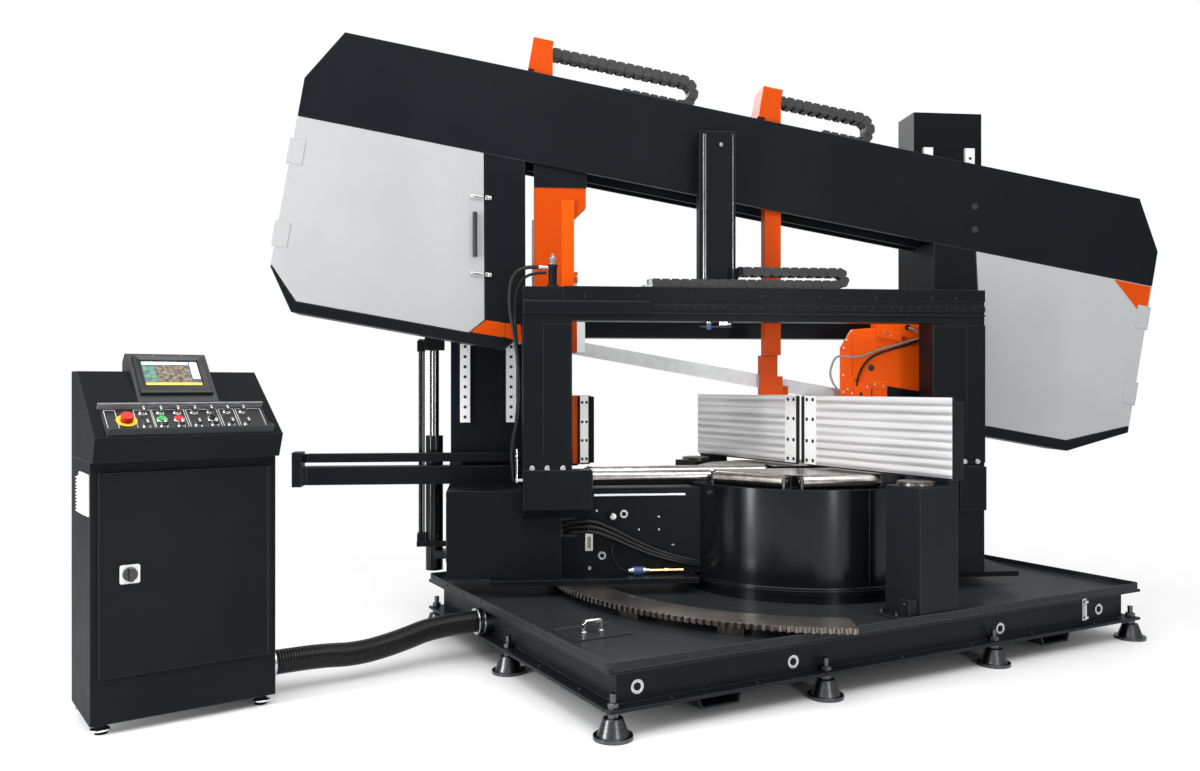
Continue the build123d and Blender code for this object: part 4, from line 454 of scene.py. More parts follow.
# The turret: a rolled and welded drum with a foot bead on the slew bearing, topped with ground
# steel table plates, and the two arms of the head, welded from plate; they stand on sole plates.
# The left arm's face carries the hydraulic fittings, a level gauge and a small pump.
HEAD = BASE @ Matrix.Rotation(math.radians(-22.5), 4, "Z")
drum_enamel = paint(
    "drum_enamel", "charcoal_paint",
    (0.0036, 0.0046, 0.0056), (0.0046, 0.0058, 0.0069), (0.04, 0.043, 0.046), 0.17, 0.03, 0.26,
)
table_steel = bare_metal("table_steel", (0.46, 0.42, 0.385), (0.68, 0.64, 0.60), 0.26, (1, 6, 1), 0.06, 12.0)
dress(drum_enamel, "turret_drum", "slew_bearing")
dress(charcoal, "left_arm", "right_arm", "sole_plates")
bead = [(599, 0), (607, 0), (607, 7), (603, 11), (599, 11), (599, 0)]
fit("drum_foot_bead", "head", HEAD, drum_enamel, 1.0, (turned, (0, 0, 311), UP, bead, 160))
seam_turn, seam_reach = math.radians(-76.0), 600.2
seam_foot = (seam_reach * math.cos(seam_turn), seam_reach * math.sin(seam_turn), 322)
fit("drum_seam", "head", HEAD, drum_enamel, 0, (turned, seam_foot, UP, rod(1.6, 446), 8))


def slab(mesh, low, high):
    """Two matching outlines, closed by faces between them."""
    low, high = ([mesh.verts.new(point) for point in outline] for outline in (low, high))
    mesh.faces.new(low)
    mesh.faces.new(high)
    skin(mesh, [low, high])


def sheet(mesh, outline, z0, z1):
    """An outline in X and Y with a thickness along Z."""
    slab(mesh, [(x, y, z0) for x, y in outline], [(x, y, z1) for x, y in outline])


table_top, plate_sheet = 826.0, 1.5
plate_top = table_top + plate_sheet
front_plate = [(-466, -78), (-466, -164), (-189, -452), (224, -434), (398, -329), (475, -78)]
rear_plate = [(477, 78), (399, 359), (199, 498), (-199, 498), (-399, 359), (-497, 187), (-123, 187), (-123, 78)]
fit(
    "turret_table_plates", "head", HEAD, table_steel, 0.5,
    (sheet, front_plate, table_top, plate_top), (sheet, rear_plate, table_top, plate_top),
)
plate_screw = [(0, 0), (9, 0), (8, 1), (5, 1), (5, 0.4), (0, 0.4)]
fit(
    "table_plate_screws", "head", HEAD, gunmetal, 0,
    *[(turned, (u, v, plate_top), UP, plate_screw, 18) for u, v in (
        (-420, -110), (-300, -300), (-100, -400), (150, -390), (340, -290), (420, -110),
        (-80, 130), (-80, 420), (150, 440), (330, 330), (420, 110), (-300, 330),
    )],
)


def plastic(name, dark, light, rough, pebble=0.06, scale=420.0, mirror=0.5, slot="black_plastic"):
    """Moulded plastic with a fine pebbled skin."""
    finish, tree, shader = new_finish(name)
    finish["slot"] = slot
    feed(
        tree, shader,
        Base_Color=shades(tree, noise(tree, 6.0, 3.0), dark, light),
        Roughness=spread(tree, noise(tree, 40.0, 4.0), rough - 0.06, rough + 0.08),
        Normal=relief(tree, noise(tree, scale, 2.0), pebble, 0.001),
        Specular_IOR_Level=mirror,
    )
    return finish


def band(bore, radius, low, high):
    """The profile of a plain ring."""
    return [(bore, low), (radius, low), (radius, high), (bore, high), (bore, low)]


blue_label = plastic("blue_sleeve", (0.03, 0.05, 0.16), (0.05, 0.08, 0.24), 0.4)
brass = bare_metal("brass_fitting", (0.55, 0.40, 0.17), (0.70, 0.52, 0.24), 0.28, (1, 1, 1), 0.05, 40.0)
arm_face = -200.0
arm_plugs = ((-942, 623), (-1049, 423))
coupling_body = [(0, 0), (15, 0), (15, 14), (11, 18), (11, 30), (0, 30)]
coupling_nose = [(0, 0), (15, 0), (19, 5), (19, 15), (14, 21), (0, 23)]
fit("arm_guide_strip", "head", HEAD, chrome, 1.5, (block, -1090, -640, arm_face - 10, arm_face, 711, 722))
fit(
    "arm_fittings", "head", HEAD, bright_steel, 0.4,
    (turned, (-1000, arm_face, 616), FRONT, coupling_body, 22),
    (turned, (-1000, arm_face - 30, 616), FRONT, coupling_nose, 26),
    *[(turned, (u, arm_face, z), FRONT, socket(20, 16, 3, 1), 26) for u, z in arm_plugs],
    (turned, (-1110, arm_face, 364), FRONT, socket(9, 6, 4, 2), 18),
    *[(hex_bolt, (u, arm_face, z), FRONT, 5) for u, z in (
        (-868, 546), (-770, 545), (-770, 608), (-1075, 640), (-700, 470),
    )],
)
fit(
    "arm_knobs", "head", HEAD, charcoal, 0.4,
    *[(turned, (u, arm_face, z), FRONT, cap(11, 4, 5, 6), 22) for u, z in arm_plugs],
    (turned, (-775, arm_face, 365), FRONT, cap(16, 6, 9, 10), 22),
)
fit("level_gauge_body", "head", HEAD, bright_steel, 4.0, (block, -1133, -1093, arm_face - 14, arm_face, 446, 550))
fit(
    "level_gauge_window", "head", HEAD, clear_glass("gauge_glass", (0.35, 0.3, 0.2)), 2.0,
    (block, -1121, -1105, arm_face - 16, arm_face - 12, 462, 518),
)
pump_v, pump_z = arm_face - 32, 352
pump_case = [(0, 0), (14, 0), (14, 12), (20, 12), (20, 84), (14, 84), (14, 104), (0, 104)]
pump_tail = [(0, 0), (9, 0), (9, 70), (12, 70), (12, 92), (9, 95), (9, 165), (0, 165)]
fit(
    "pump_body", "head", HEAD, bright_steel, 1.0,
    (turned, (-925, pump_v, pump_z), RIGHT, pump_case, 26),
    (block, -885, -855, arm_face - 34, arm_face, 340, 364),
)
fit("pump_sleeve", "head", HEAD, blue_label, 0.3, (turned, (-900, pump_v, pump_z), RIGHT, band(20.5, 21.5, 0, 46), 26))
fit("pump_fitting", "head", HEAD, brass, 0.5, (turned, (-821, pump_v, pump_z), RIGHT, pump_tail, 6))

# The hydraulic hoses on the left arm: rubber over braid, coming out of the portal's foot
# through an opening drawn as a thin near-black plate of painted shade, and running down the arm's face into the turret,
# with a thin sensor lead.
rubber = plastic("hose_rubber", (0.0045, 0.0045, 0.005), (0.008, 0.008, 0.0085), 0.32, 0.05, 600.0, 0.3)
# Near-black for holes, slots, screw sockets and the hoses' opening: painted shade inside them.
hole_shade_black = plastic("hole_shade_black", (0.004, 0.005, 0.006), (0.008, 0.009, 0.010), 0.5)


def smooth_curve(name, points, steps):
    """A curve on one smooth spline through given points, and the line that it draws."""
    curve = bpy.data.curves.new(name, "CURVE")
    curve.dimensions = "3D"
    spline = curve.splines.new("NURBS")
    spline.points.add(len(points) - 1)
    for control, point in zip(spline.points, points):
        control.co = (*point, 1.0)
    spline.order_u = 3
    spline.use_endpoint_u = True
    spline.resolution_u = steps
    made = bpy.data.objects.new(name, curve)
    walked = bpy.data.meshes.new_from_object(made)
    line = [v.co.copy() for v in walked.vertices]
    bpy.data.meshes.remove(walked)
    return made, line


def soft_line(name, points, place, radius, body, finish):
    """A free hose along a smooth curve."""
    spots = [place @ (Vector(p) * 0.001) for p in points]
    hose, walked = smooth_curve(name, spots, 16)
    hose.data.bevel_depth = radius * 0.001
    hose.data.bevel_resolution = 4
    hose.data.use_fill_caps = True
    hose.data.materials.append(finish)
    scene.collection.objects.link(hose)
    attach(hose, body)


# The hoses' opening is a thin near-black plate: painted shade.
fit("hose_mouth", "head", HEAD, hole_shade_black, 0, (block, -1250, -1171, arm_face - 1, arm_face, 517, 612))
for name, start, lead, rise in (("upper", -1240, 0, 0), ("middle", -1236, 8, -25), ("lower", -1232, 16, -48)):
    soft_line(
        "arm_hose_" + name,
        [(start, -206, 584 + rise), (start + 60, -222 - lead, 594 + rise),
         (-1090, -228 - lead, 594 + rise), (-1000, -230 - lead, 556 + rise * 0.9),
         (-900, -230 - lead, 502 + rise * 0.8), (-789, -226 - lead, 450 + rise * 0.6),
         (-670, -220 - lead, 412 + rise * 0.5), (-600, -214, 396 + rise * 0.5), (-568, -207, 390 + rise * 0.5)],
        HEAD, 10, "head", rubber,
    )
soft_line(
    "sensor_lead",
    [(-975, -206, 508), (-996, -216, 486), (-1006, -224, 440), (-985, -230, 390), (-950, -232, 356), (-926, -232, 352)],
    HEAD, 3.5, "head", rubber,
)

# The columns: two welded and painted box posts that stand on the arms, with ground steel rails
# screwed down their fronts for the bow's slides, tied together across the back by a beam.
rail_steel = bare_metal(
    "rail_steel", (0.90, 0.905, 0.905), (0.96, 0.965, 0.965), 0.38, (1, 1, 10), 0.06, 40.0, 0.15,
)
dress(charcoal, "column_frame")
dress(rail_steel, "column_rails")
rail_front, rail_pitch = 195.0, 52
rails = ((-1718, 1084, 2640), (-1481, 1084, 2640), (778, 718, 2520), (1015, 718, 2520))
fit(
    "rail_screws", "head", HEAD, hole_shade_black, 0,
    *[(turned, (u, rail_front, z), FRONT, socket(8.5, 4.4, 0.8, 0.4), 14)
      for u, first, last in rails for z in range(first, last + 1, rail_pitch)],
)

# The clamp portal: two folded legs and a crossbeam, painted and bolted to the arms, with
# a bent cable cover along the beam, cover plates on the legs and an air filter below the beam.
# The clamp's square mast slides in a carriage on the beam.
dress(charcoal, "clamp_portal", "clamp_carriage", "clamp_mast")
portal_front, beam_bottom, mast_front, filter_v = -360.0, 1551.0, -239.5, -335
fit(
    "portal_foot_bolts", "head", HEAD, bright_steel, 0.4,
    *[(hex_bolt, (u, portal_front - 8, z), FRONT, 11) for u, z in (
        (-1394, 862), (-1324, 862), (-1250, 862), (708, 877), (774, 877),
    )],
)
fit(
    "beam_bolts", "head", HEAD, charcoal, 0.3,
    *[(hex_bolt, (u, portal_front - 4, 1668), FRONT, 7) for u in (-1147, -896, -640, -300, -15, 263, 545, 665)],
    *[(turned, (u, portal_front - 5, 1617), FRONT, [(0, 0), (5, 0), (4, 2), (0, 2)], 12) for u in range(-810, 800, 46)],
)
fit(
    "beam_cable_cover", "head", HEAD, charcoal, 1.5,
    (block, -1436, -836, portal_front - 14, portal_front, 1583, 1640),
    (block, -1436, -836, portal_front - 14, portal_front - 11, 1640, 1646),
    (block, -836, 815, portal_front - 9, portal_front, 1583, 1590),
    (block, -830, 815, portal_front - 5, portal_front, 1604, 1630),
    (block, -1250, 815, portal_front - 4, portal_front, 1652, 1712),
)
fit(
    "leg_cover_plates", "head", HEAD, charcoal, 1.2,
    (block, -1343, -1211, portal_front - 3, portal_front, 905, 1535),
    (block, 552, 716, portal_front - 3, portal_front, 905, 1535),
    (block, 720, 815, portal_front - 5, portal_front, 870, 1540),
)
fit(
    "mast_guide_strips", "mast", HEAD, bright_steel, 0.4,
    *[(block, left, right, mast_front - 0.35, mast_front, 1720, 2470)
      for left, right in ((-560, -554), (-548, -545), (-413, -410))],
)
fit("mast_lifting_plug", "mast", HEAD, bright_steel, 0.3, (turned, (-470, mast_front, 2420), FRONT, rod(9, 1.2), 22))
fit(
    "beam_fittings", "head", HEAD, chrome, 0.6,
    (turned, (-552, filter_v, beam_bottom), DOWN, rod(15, 8), 22),
    (block, -504, -462, filter_v - 10, filter_v + 10, beam_bottom - 16, beam_bottom),
    (turned, (-462, filter_v, beam_bottom - 9), RIGHT, rod(6, 16), 6),
)
filter_bowl = [(0, 0), (13, 0), (13, 22), (9, 29), (0, 31)]
fit(
    "beam_filter_bowl", "head", HEAD, blue_label, 0,
    (turned, (-552, filter_v, beam_bottom - 8), DOWN, filter_bowl, 22),
)

# The energy chain of the clamp: moulded links with side plates and crossbars, pinned together,
# which hold the cables to the clamp carriage; its fixed end is bolted to a steel foot.
chain_plastic = plastic("chain_plastic", (0.009, 0.009, 0.010), (0.016, 0.016, 0.017), 0.5, 0.08, 300.0)


def prism(mesh, outline, y0, y1):
    """An outline in X and Z with a thickness along Y."""
    slab(mesh, [(x, y0, z) for x, z in outline], [(x, y1, z) for x, z in outline])


def chain_links(name, node_name, body, place, start, anchor, end, low, rise, thick, y0, y1):
    """Links round a chain's loop, from its anchor to the arm that it follows."""
    half = rise / 2
    radius = half - thick / 2
    lower = end - half - anchor
    bend = math.pi * radius
    total = lower + bend + end - half - start
    count = round(total / 46.0)
    pitch = total / count
    high, long = thick / 2, pitch * 0.56
    cut = high * 0.45
    outline = [
        (-long, -high + cut), (-long + cut, -high), (long - cut, -high), (long, -high + cut),
        (long, high - cut), (long - cut, high), (-long + cut, high), (-long, high - cut),
    ]

    def spot(run):
        if run < lower:
            return anchor + run, low + thick / 2, 0.0
        if run < lower + bend:
            swing = (run - lower) / radius
            return end - half + radius * math.sin(swing), low + half - radius * math.cos(swing), swing
        return end - half - (run - lower - bend), low + rise - thick / 2, math.pi

    links = bmesh.new()
    for link in range(count):
        first = len(links.verts)
        tuck = 2.5 if link % 2 else 0.0
        prism(links, outline, y0 + tuck, y0 + tuck + 8)
        prism(links, outline, y1 - tuck - 8, y1 - tuck)
        for level in (-high, high - 5):
            block(links, -pitch * 0.27, pitch * 0.27, y0 + 8, y1 - 8, level, level + 5)
        block(links, -pitch * 0.5, pitch * 0.5, y0 + 12, y1 - 12, -high + 9, high - 9)
        for side, way in ((y0 + tuck, -1), (y1 - tuck, 1)):
            turned(links, (pitch * 0.44, side, 0), (0, way, 0), cap(6, 1.4, 4, 2.2, -1), 12)
        x, z, swing = spot((link + 0.5) * pitch)
        turn = Matrix.Translation((x, 0, z)) @ Matrix.Rotation(-swing, 4, "Y")
        bmesh.ops.transform(links, matrix=turn, verts=list(links.verts)[first:])
    made = piece(name, links, body, place, chain_plastic, 0.6)
    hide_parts(node_name)


chain_links("clamp_chain_links", "clamp_chain", "head", HEAD, -388, -830, 134, 1709, 104, 44, -350, -278)
fit(
    "clamp_chain_foot", "head", HEAD, bright_steel, 1.0,
    (block, -870, -826, -352, -276, 1709, 1722), (block, -842, -826, -352, -276, 1722, 1753),
)

# The conduits beside the left leg: two rubber hoses from the coupling on the beam's end,
# looping outwards and down to the vise cylinder, past a chromed stop pin on the portal's foot.
coupling_u, coupling_v = -1296, -330
coupling_foot = [(18, 0), (27, 0), (27, 8), (21, 11), (18, 11), (18, 0)]
coupling_rim = [(18, 0), (22, 0), (24, 3), (24, 16), (18, 16), (18, 0)]
coupling_nut = [(0, 0), (15, 0), (15, 22), (20, 24), (20, 34), (8, 38), (8, 50), (0, 52)]
coupling_branch = [(0, -12), (9, -12), (9, 26), (12, 26), (12, 40), (0, 40)]
fit(
    "hose_coupling_body", "head", HEAD, charcoal, 0.8,
    (turned, (coupling_u, coupling_v, 1709), UP, coupling_foot, 28),
    (turned, (coupling_u, coupling_v, 1797), UP, coupling_rim, 28),
)
fit(
    "hose_coupling_fittings", "head", HEAD, bright_steel, 0.6,
    (turned, (coupling_u, coupling_v, 1813), UP, coupling_nut, 6),
    (turned, (coupling_u - 24, coupling_v, 1800), LEFT, coupling_branch, 12),
)
fit(
    "leg_stop_pin", "head", HEAD, chrome, 0.4,
    (turned, (-1463, -345, 795), UP, cap(6, 150, 4, 156), 18), (block, -1470, -1426, -352, -338, 800, 812),
)
soft_line(
    "leg_hose_outer",
    [(-1359, -330, 1800), (-1420, -332, 1806), (-1492, -345, 1760), (-1500, -352, 1600), (-1465, -356, 1440),
     (-1452, -350, 1220), (-1462, -340, 1080), (-1490, -330, 960), (-1482, -312, 860), (-1478, -300, 800)],
    HEAD, 9, "head", rubber,
)
soft_line(
    "leg_hose_inner",
    [(-1325, -330, 1775), (-1400, -316, 1778), (-1462, -320, 1720), (-1474, -326, 1580), (-1462, -330, 1400),
     (-1456, -326, 1200), (-1470, -318, 1040), (-1478, -306, 930), (-1470, -298, 850), (-1468, -292, 800)],
    HEAD, 7, "head", rubber,
)

# The rollers: ground steel tubes that carry the stock on both sides of the blade, turning on
# fixed axles between brackets that are cut from plate and screwed to the arm and the turret.
roller_steel = bare_metal("roller_steel", (0.40, 0.365, 0.34), (0.60, 0.56, 0.53), 0.22, (1, 1, 1), 0.06, 30.0)
dress(roller_steel, "table_roller_front", "table_roller_rear", "turret_roller_left", "turret_roller_right")
dress(gunmetal, "roller_brackets")

# The fixed vise: two welded posts and a beam on the base, faced with ridged aluminium plates,
# with screwed steel wear plates on both sides of the blade's gap and two dark strips inside it.
# The posts' feet are bolted through the tray, and turned rings close their tops.
jaw_metal = bare_metal(
    "jaw_aluminium", (0.80, 0.80, 0.81), (0.96, 0.96, 0.97), 0.36, (1, 1, 12), 0.03, 9.0, 0.45, "jaw_aluminium",
)
jaw_tree = jaw_metal.node_tree
jaw_place = node(jaw_tree, "ShaderNodeTexCoord").outputs["Object"]
# Light and dark bands, one for each ridge of the plates, are painted shading of the ridges; the stretched noise adds
# streaks of grain.
jaw_ridge_shade_bands = node(
    jaw_tree, "ShaderNodeTexWave", Vector=jaw_place, Scale=8.1, Distortion=0.25, Detail_Scale=0.4,
)
jaw_ridge_shade_bands.bands_direction = "Z"
jaw_sum = node(jaw_tree, "ShaderNodeMath")
jaw_sum.operation = "MULTIPLY_ADD"
jaw_sum.inputs[1].default_value = 0.45
jaw_ridge_shade_and_grain = shades(jaw_tree, jaw_sum.outputs["Value"], (0.43, 0.43, 0.44), (0.97, 0.97, 0.975), 0.40, 0.90)
join(
    jaw_tree,
    (jaw_ridge_shade_bands.outputs["Fac"], jaw_sum.inputs[0]),
    (noise(jaw_tree, 5.0, 4.0, (0.22, 0.22, 9)), jaw_sum.inputs[2]),
    (jaw_ridge_shade_and_grain, jaw_tree.nodes["Principled BSDF"].inputs["Base Color"]),
)
ring_steel = bare_metal("ring_steel", *ring_look)
dress(base_enamel, "jaw_posts")
dress(jaw_metal, "fixed_jaw_plates", "moving_jaw_plate")
dress(rail_steel, "jaw_wear_plates")
fit(
    "wear_plate_screws", "base", BASE, hole_shade_black, 0,
    *[(turned, (0, side * y, z), LEFT, socket(9.5, 5, 0.8, 0.3), 18)
      for side in (-1, 1) for y in (52, 98) for z in (866, 965, 1075, 1175)],
)
fit(
    "post_cap_rings", "base", BASE, ring_steel, 0.4,
    *[(turned, (-86, y, z), UP, profile, 48)
      for y in (-873, 823) for z, profile in ((830, rod(78, 2)), (812, band(80, 81, 2, 15)))],
)
# Two thin strips in the dark hose rubber fill the blade's gap and make it dark.
fit(
    "blade_gap_dark_strips", "base", BASE, rubber, 0.5,
    (block, 1, 4, -33.7, -7.5, 848, 1192), (block, 1, 4, 7.5, 33.7, 848, 1192),
)
tray_floor, foot_top = 251, 262
fit(
    "post_foot_plates", "base", BASE, base_enamel, 2.0,
    (block, -238, 130, -978, -770, tray_floor, foot_top),
    (block, -218, -167, -962, -908, foot_top, 340),
    (block, -238, 130, 745, 945, tray_floor, foot_top),
)
fit(
    "post_foot_bolts", "base", BASE, gunmetal, 0.4,
    *[(hex_bolt, (x, y, foot_top), UP, 13) for x, y in (
        (-205, -790), (-205, -880), (-100, -782), (20, -782), (100, -800),
        (100, -900), (-205, 765), (-205, 900), (100, 765), (100, 900),
    )],
    (hex_bolt, (-218, -935, 318), LEFT, 7),
)

# The moving vise: a square ram in guide blocks on the left arm, with the orange welded jaw
# swivelling on its end, kept parallel to the fixed vise; a drilled steel plate closes the jaw's end.
orange = paint(
    "orange_enamel", "orange_paint", (0.47, 0.050, 0.0019), (0.52, 0.056, 0.0022), (0.75, 0.15, 0.02), 0.34,
)
dress(charcoal, "vise_cylinder", "vise_ram")
dress(orange, "moving_jaw")
fit(
    "vise_end_plate", "head", HEAD, charcoal, 3.0,
    (block, -2570, -2522, 85, 185, 740, 914),
    (block, -2522, -2496, 87, 183, 750, 840),
    (block, -2522, -2497, 113, 157, 860, 904),
)
fit(
    "moving_jaw_end_sheet", "jaw", BASE, orange, 1.2,
    (block, -1046, -945, 522, 530, 848, 1195), (block, -988, -946, 530, 542, 848, 1190),
)
fit("moving_jaw_end_plate", "jaw", BASE, rail_steel, 0.8, (block, -1008, -962, 516, 522, 850, 1193))
fit(
    "moving_jaw_end_holes", "jaw", BASE, hole_shade_black, 0,
    *[(turned, (x, 516, z), FRONT, socket(7.5, 4, 0.8, 0.3), 16)
      for x in (-998, -973) for z in (870, 965, 1060, 1160)],
)
# Two charcoal bars beside the drilled plate are painted shade: a wide one where the jaw plate's side lies in shade, and
# a thin one in the gap between the orange sheet and the plate.
fit(
    "moving_jaw_end_shade_bars", "jaw", BASE, charcoal, 1.5,
    (block, -961, -929, 514, 541, 848, 1190), (block, -1024, -1009, 519, 522, 848, 1193),
)

# The lift cylinders: honed and painted tubes beside the columns, which raise and lower the bow
# by chromed rods. The left one stands on a bolted bracket, with two slim rods in blocks beside it.
dark_chrome = bare_metal("dark_chrome", (0.16, 0.165, 0.17), (0.20, 0.205, 0.21), 0.18, (1, 1, 1), 0.004, 12.0)
dress(drum_enamel, "lift_cylinders")
dress(dark_chrome, "lift_rods")
fit(
    "lift_side_rods", "head", HEAD, drum_enamel, 0.6,
    (turned, (-1951, 290, 470), UP, rod(11, 1020), 20), (turned, (-1933, 272, 470), UP, rod(5, 1020), 14),
)
fit(
    "lift_rod_blocks", "head", HEAD, charcoal, 2.0,
    (block, -1968, -1928, 262, 318, 1424, 1482),
    (block, -1968, -1926, 256, 324, 440, 476),
    (block, -1968, -1926, 243, 320, 412, 440),
    (block, -1968, -1818, 228, 243, 412, 440),
)
bracket_u, bracket_front = -1806, 226
fit("lift_bracket_plate", "head", HEAD, gunmetal, 1.5, (block, -1818, -1792, bracket_front, 243, 330, 690))
fit(
    "lift_bracket_bolts", "head", HEAD, bright_steel, 0.4,
    *[(turned, (bracket_u, bracket_front, z), FRONT, cap(12, 14, 9, 18), 24) for z in (655, 450)],
    *[(hex_bolt, (bracket_u, bracket_front, z), FRONT, 8) for z in (622, 515, 395, 345)],
)
fit(
    "lift_cap_plate", "bow", HEAD, charcoal, 2.0,
    (block, -1926, -1824, 228, 242, 1429, 1560), (block, -1895, -1865, 242, 268, 1553, 1560),
)

# The saw bow: a deep spine with a wheel case at each end and a folded band across the top, welded
# from sheet and painted charcoal. The cases are closed by hinged doors of light grey sheet, the
# left one with a plastic pull and chromed latches; orange sheet marks the corners by the blade.
BOW = HEAD @ Matrix.Translation((0.0, 0.0, 1.197)) @ Matrix.Rotation(math.radians(10.0), 4, "Y")
door_grey = paint(
    "door_enamel", "light_grey_paint",
    (0.340, 0.344, 0.350), (0.365, 0.369, 0.376), (0.40, 0.405, 0.41), 0.42,
)
pull_plastic = plastic("pull_plastic", (0.012, 0.012, 0.013), (0.02, 0.02, 0.021), 0.4)
dress(charcoal, "bow_beam", "bow_cover", "left_wheel_case", "right_wheel_case")
dress(door_grey, "left_door", "right_door")
bow_front = -140.0
latch_front = bow_front - 12
fit(
    "band_hole_plugs", "bow", BOW, hole_shade_black, 0,
    *[(turned, (s, bow_front, n), FRONT, socket(17, 13, 1, 0.4), 24) for s, n in ((693, 1102), (714, 986))],
)
long_guard = [(-1710, 12), (-1647, 82), (-1552, 84), (-1548, 18), (-1560, 14)]
short_guard = [(-1549, 84), (-1478, 89), (-1457, 6), (-1545, 18)]
fit(
    "left_case_guard", "bow", BOW, orange, 0.6,
    (prism, long_guard, bow_front - 1.5, bow_front + 1.5), (prism, short_guard, bow_front - 3, bow_front + 1.5),
)
pull_top, pull_low = Vector((-1790, bow_front, 585)), Vector((-1752, bow_front, 371))
pull_post = [(0, 0), (12, 0), (9, 4), (9, 24), (0, 24)]
fit(
    "left_door_pull", "left_case_door", BOW, pull_plastic, 1.5,
    (turned, pull_top + Vector((0, -22, 0)), (pull_low - pull_top).normalized(), rod(11, 217), 12),
    *[(turned, pull_top.lerp(pull_low, share), FRONT, pull_post, 16) for share in (0.08, 0.92)],
)
latches, catches = [], []
for latch_s, latch_n in ((-1815, 660), (-1750, 293)):
    latches += [
        (block, latch_s - 10, latch_s + 52, latch_front, bow_front, latch_n - 8, latch_n + 8),
        (turned, (latch_s + 2, latch_front, latch_n), FRONT, [(0, 0), (9, 0), (7, 4), (0, 5)], 16),
    ]
    catches += [
        (block, latch_s + 62, latch_s + 92, latch_front, bow_front, latch_n - 4, latch_n + 16),
        (turned, (latch_s + 84, latch_front, latch_n + 6), FRONT, [(0, 0), (10, 0), (8, 4), (0, 5)], 16),
    ]
fit("left_door_latches", "left_case_door", BOW, chrome, 2.0, *latches)
fit("left_door_catches", "bow", BOW, chrome, 2.0, *catches)
fit(
    "right_door_corner_panel", "right_case_door", BOW, orange, 0,
    (prism, [(1502, 874), (1707, 874), (1707, 700)], bow_front - 1.2, bow_front),
)

# The band wheels and blade: cast wheels with ground rims inside the cases, the idler on a block
# that slides to tension the toothed steel band, the other on the shaft of the gear motor.
cast_iron = bare_metal(
    "cast_iron", (0.12, 0.12, 0.125), (0.2, 0.2, 0.205), 0.5, (1, 1, 1), 0.3, 120.0, 1.0, "cast",
)
blade_steel = bare_metal("blade_steel", (0.50, 0.505, 0.51), (0.58, 0.585, 0.59), 0.42, (1, 1, 1), 0.04, 30.0, 0.3)
dress(cast_iron, "idler_wheel", "drive_wheel")
dress(gunmetal, "tension_block", "drive_gearmotor")
dress(blade_steel, "saw_blade")

# The blade shroud beside the right case: an orange welded guard, bolted to the bow, that carries
# the wire brush's drive on a bracket, with a grey tube and a rubber hose clipped along its front.
# The shroud's enamel is a much lighter copy of the orange: painted light that lifts the shroud out of the shade under
# the beam and the bow.
guard_orange_lightened = paint(
    "guard_orange_enamel", "orange_paint", (0.95, 0.105, 0.003), (1.0, 0.115, 0.004), (1.0, 0.25, 0.05), 0.36,
)
grey_tube = plastic("grey_tube", (0.24, 0.245, 0.25), (0.34, 0.345, 0.35), 0.28, 0.02)
dress(guard_orange_lightened, "blade_shroud")
shroud_front = -60.0
cover_face = [(206, 1292), (206, 1468), (245, 1519), (654, 1440), (654, 1213), (446, 1246), (298, 1274)]
cover_edge = [
    (191, 1188), (191, 1400), (207, 1470), (242, 1516), (252, 1470), (252, 1290), (262, 1280), (262, 1188),
]
fit(
    "shroud_cover", "bow", HEAD, guard_orange_lightened, 1.5,
    (prism, cover_face, shroud_front - 3, shroud_front),
    (prism, cover_edge, shroud_front - 8, shroud_front + 6),
    (block, 264, 352, shroud_front - 10, shroud_front, 1188, 1262),
    (block, 352, 440, shroud_front - 4, shroud_front, 1228, 1266),
)
fit(
    "shroud_top_bracket", "bow", HEAD, guard_orange_lightened, 2.0,
    (prism, [(384, 1518), (384, 1700), (640, 1700), (640, 1482), (520, 1500)], -72, 20),
    (prism, [(384, 1494), (384, 1534), (512, 1510), (512, 1472)], -78, -63),
)
fit(
    "shroud_foot_bar", "bow", HEAD, charcoal, 1.0,
    (prism, [(440, 1244), (654, 1210), (654, 1150), (497, 1150), (440, 1188)], shroud_front - 4, shroud_front),
)
fit(
    "shroud_bolts", "bow", HEAD, bright_steel, 0.4,
    *[(hex_bolt, spot, FRONT, 6, False) for spot in (
        (419, -78, 1517), (455, -78, 1503), (404, -72, 1580), (470, -72, 1576), (205, -68, 1212),
        (228, -68, 1228), (250, -68, 1206), (330, -70, 1238), (372, -64, 1252), (420, -64, 1244),
        (206, -68, 1440), (222, -68, 1480), (205, -68, 1300),
    )],
)
fit(
    "shroud_slots", "bow", HEAD, hole_shade_black, 0,
    (turned, (355, shroud_front - 3, 1337), FRONT, rod(17, 0.8), 24),
    (turned, (299, shroud_front - 10, 1203), FRONT, rod(9, 0.8), 20),
    (block, 352, 358, shroud_front - 9, shroud_front - 3.6, 1190, 1226),
    (turned, (546, -72, 1545), FRONT, rod(15, 0.8), 24),
)
soft_line(
    "shroud_tube",
    [(548, -74, 1544), (575, -86, 1534), (612, -88, 1512), (610, -80, 1490), (569, -74, 1480), (480, -71, 1454),
     (392, -70, 1430), (329, -69, 1404), (276, -68.5, 1392), (217, -68.5, 1396), (192, -62, 1400), (168, -45, 1388),
     (152, -40, 1344), (145, -38, 1308), (156, -40, 1268), (174, -42, 1236), (196, -45, 1216)],
    HEAD, 5.5, "bow", grey_tube,
)
soft_line(
    "shroud_hose",
    [(640, -70, 1500), (615, -78, 1492), (569, -73, 1464), (480, -71, 1439), (400, -69.5, 1415),
     (345, -69, 1388), (305, -68.5, 1342), (284, -68.5, 1290), (276, -68, 1256), (276, -67, 1246)],
    HEAD, 5.5, "bow", rubber,
)

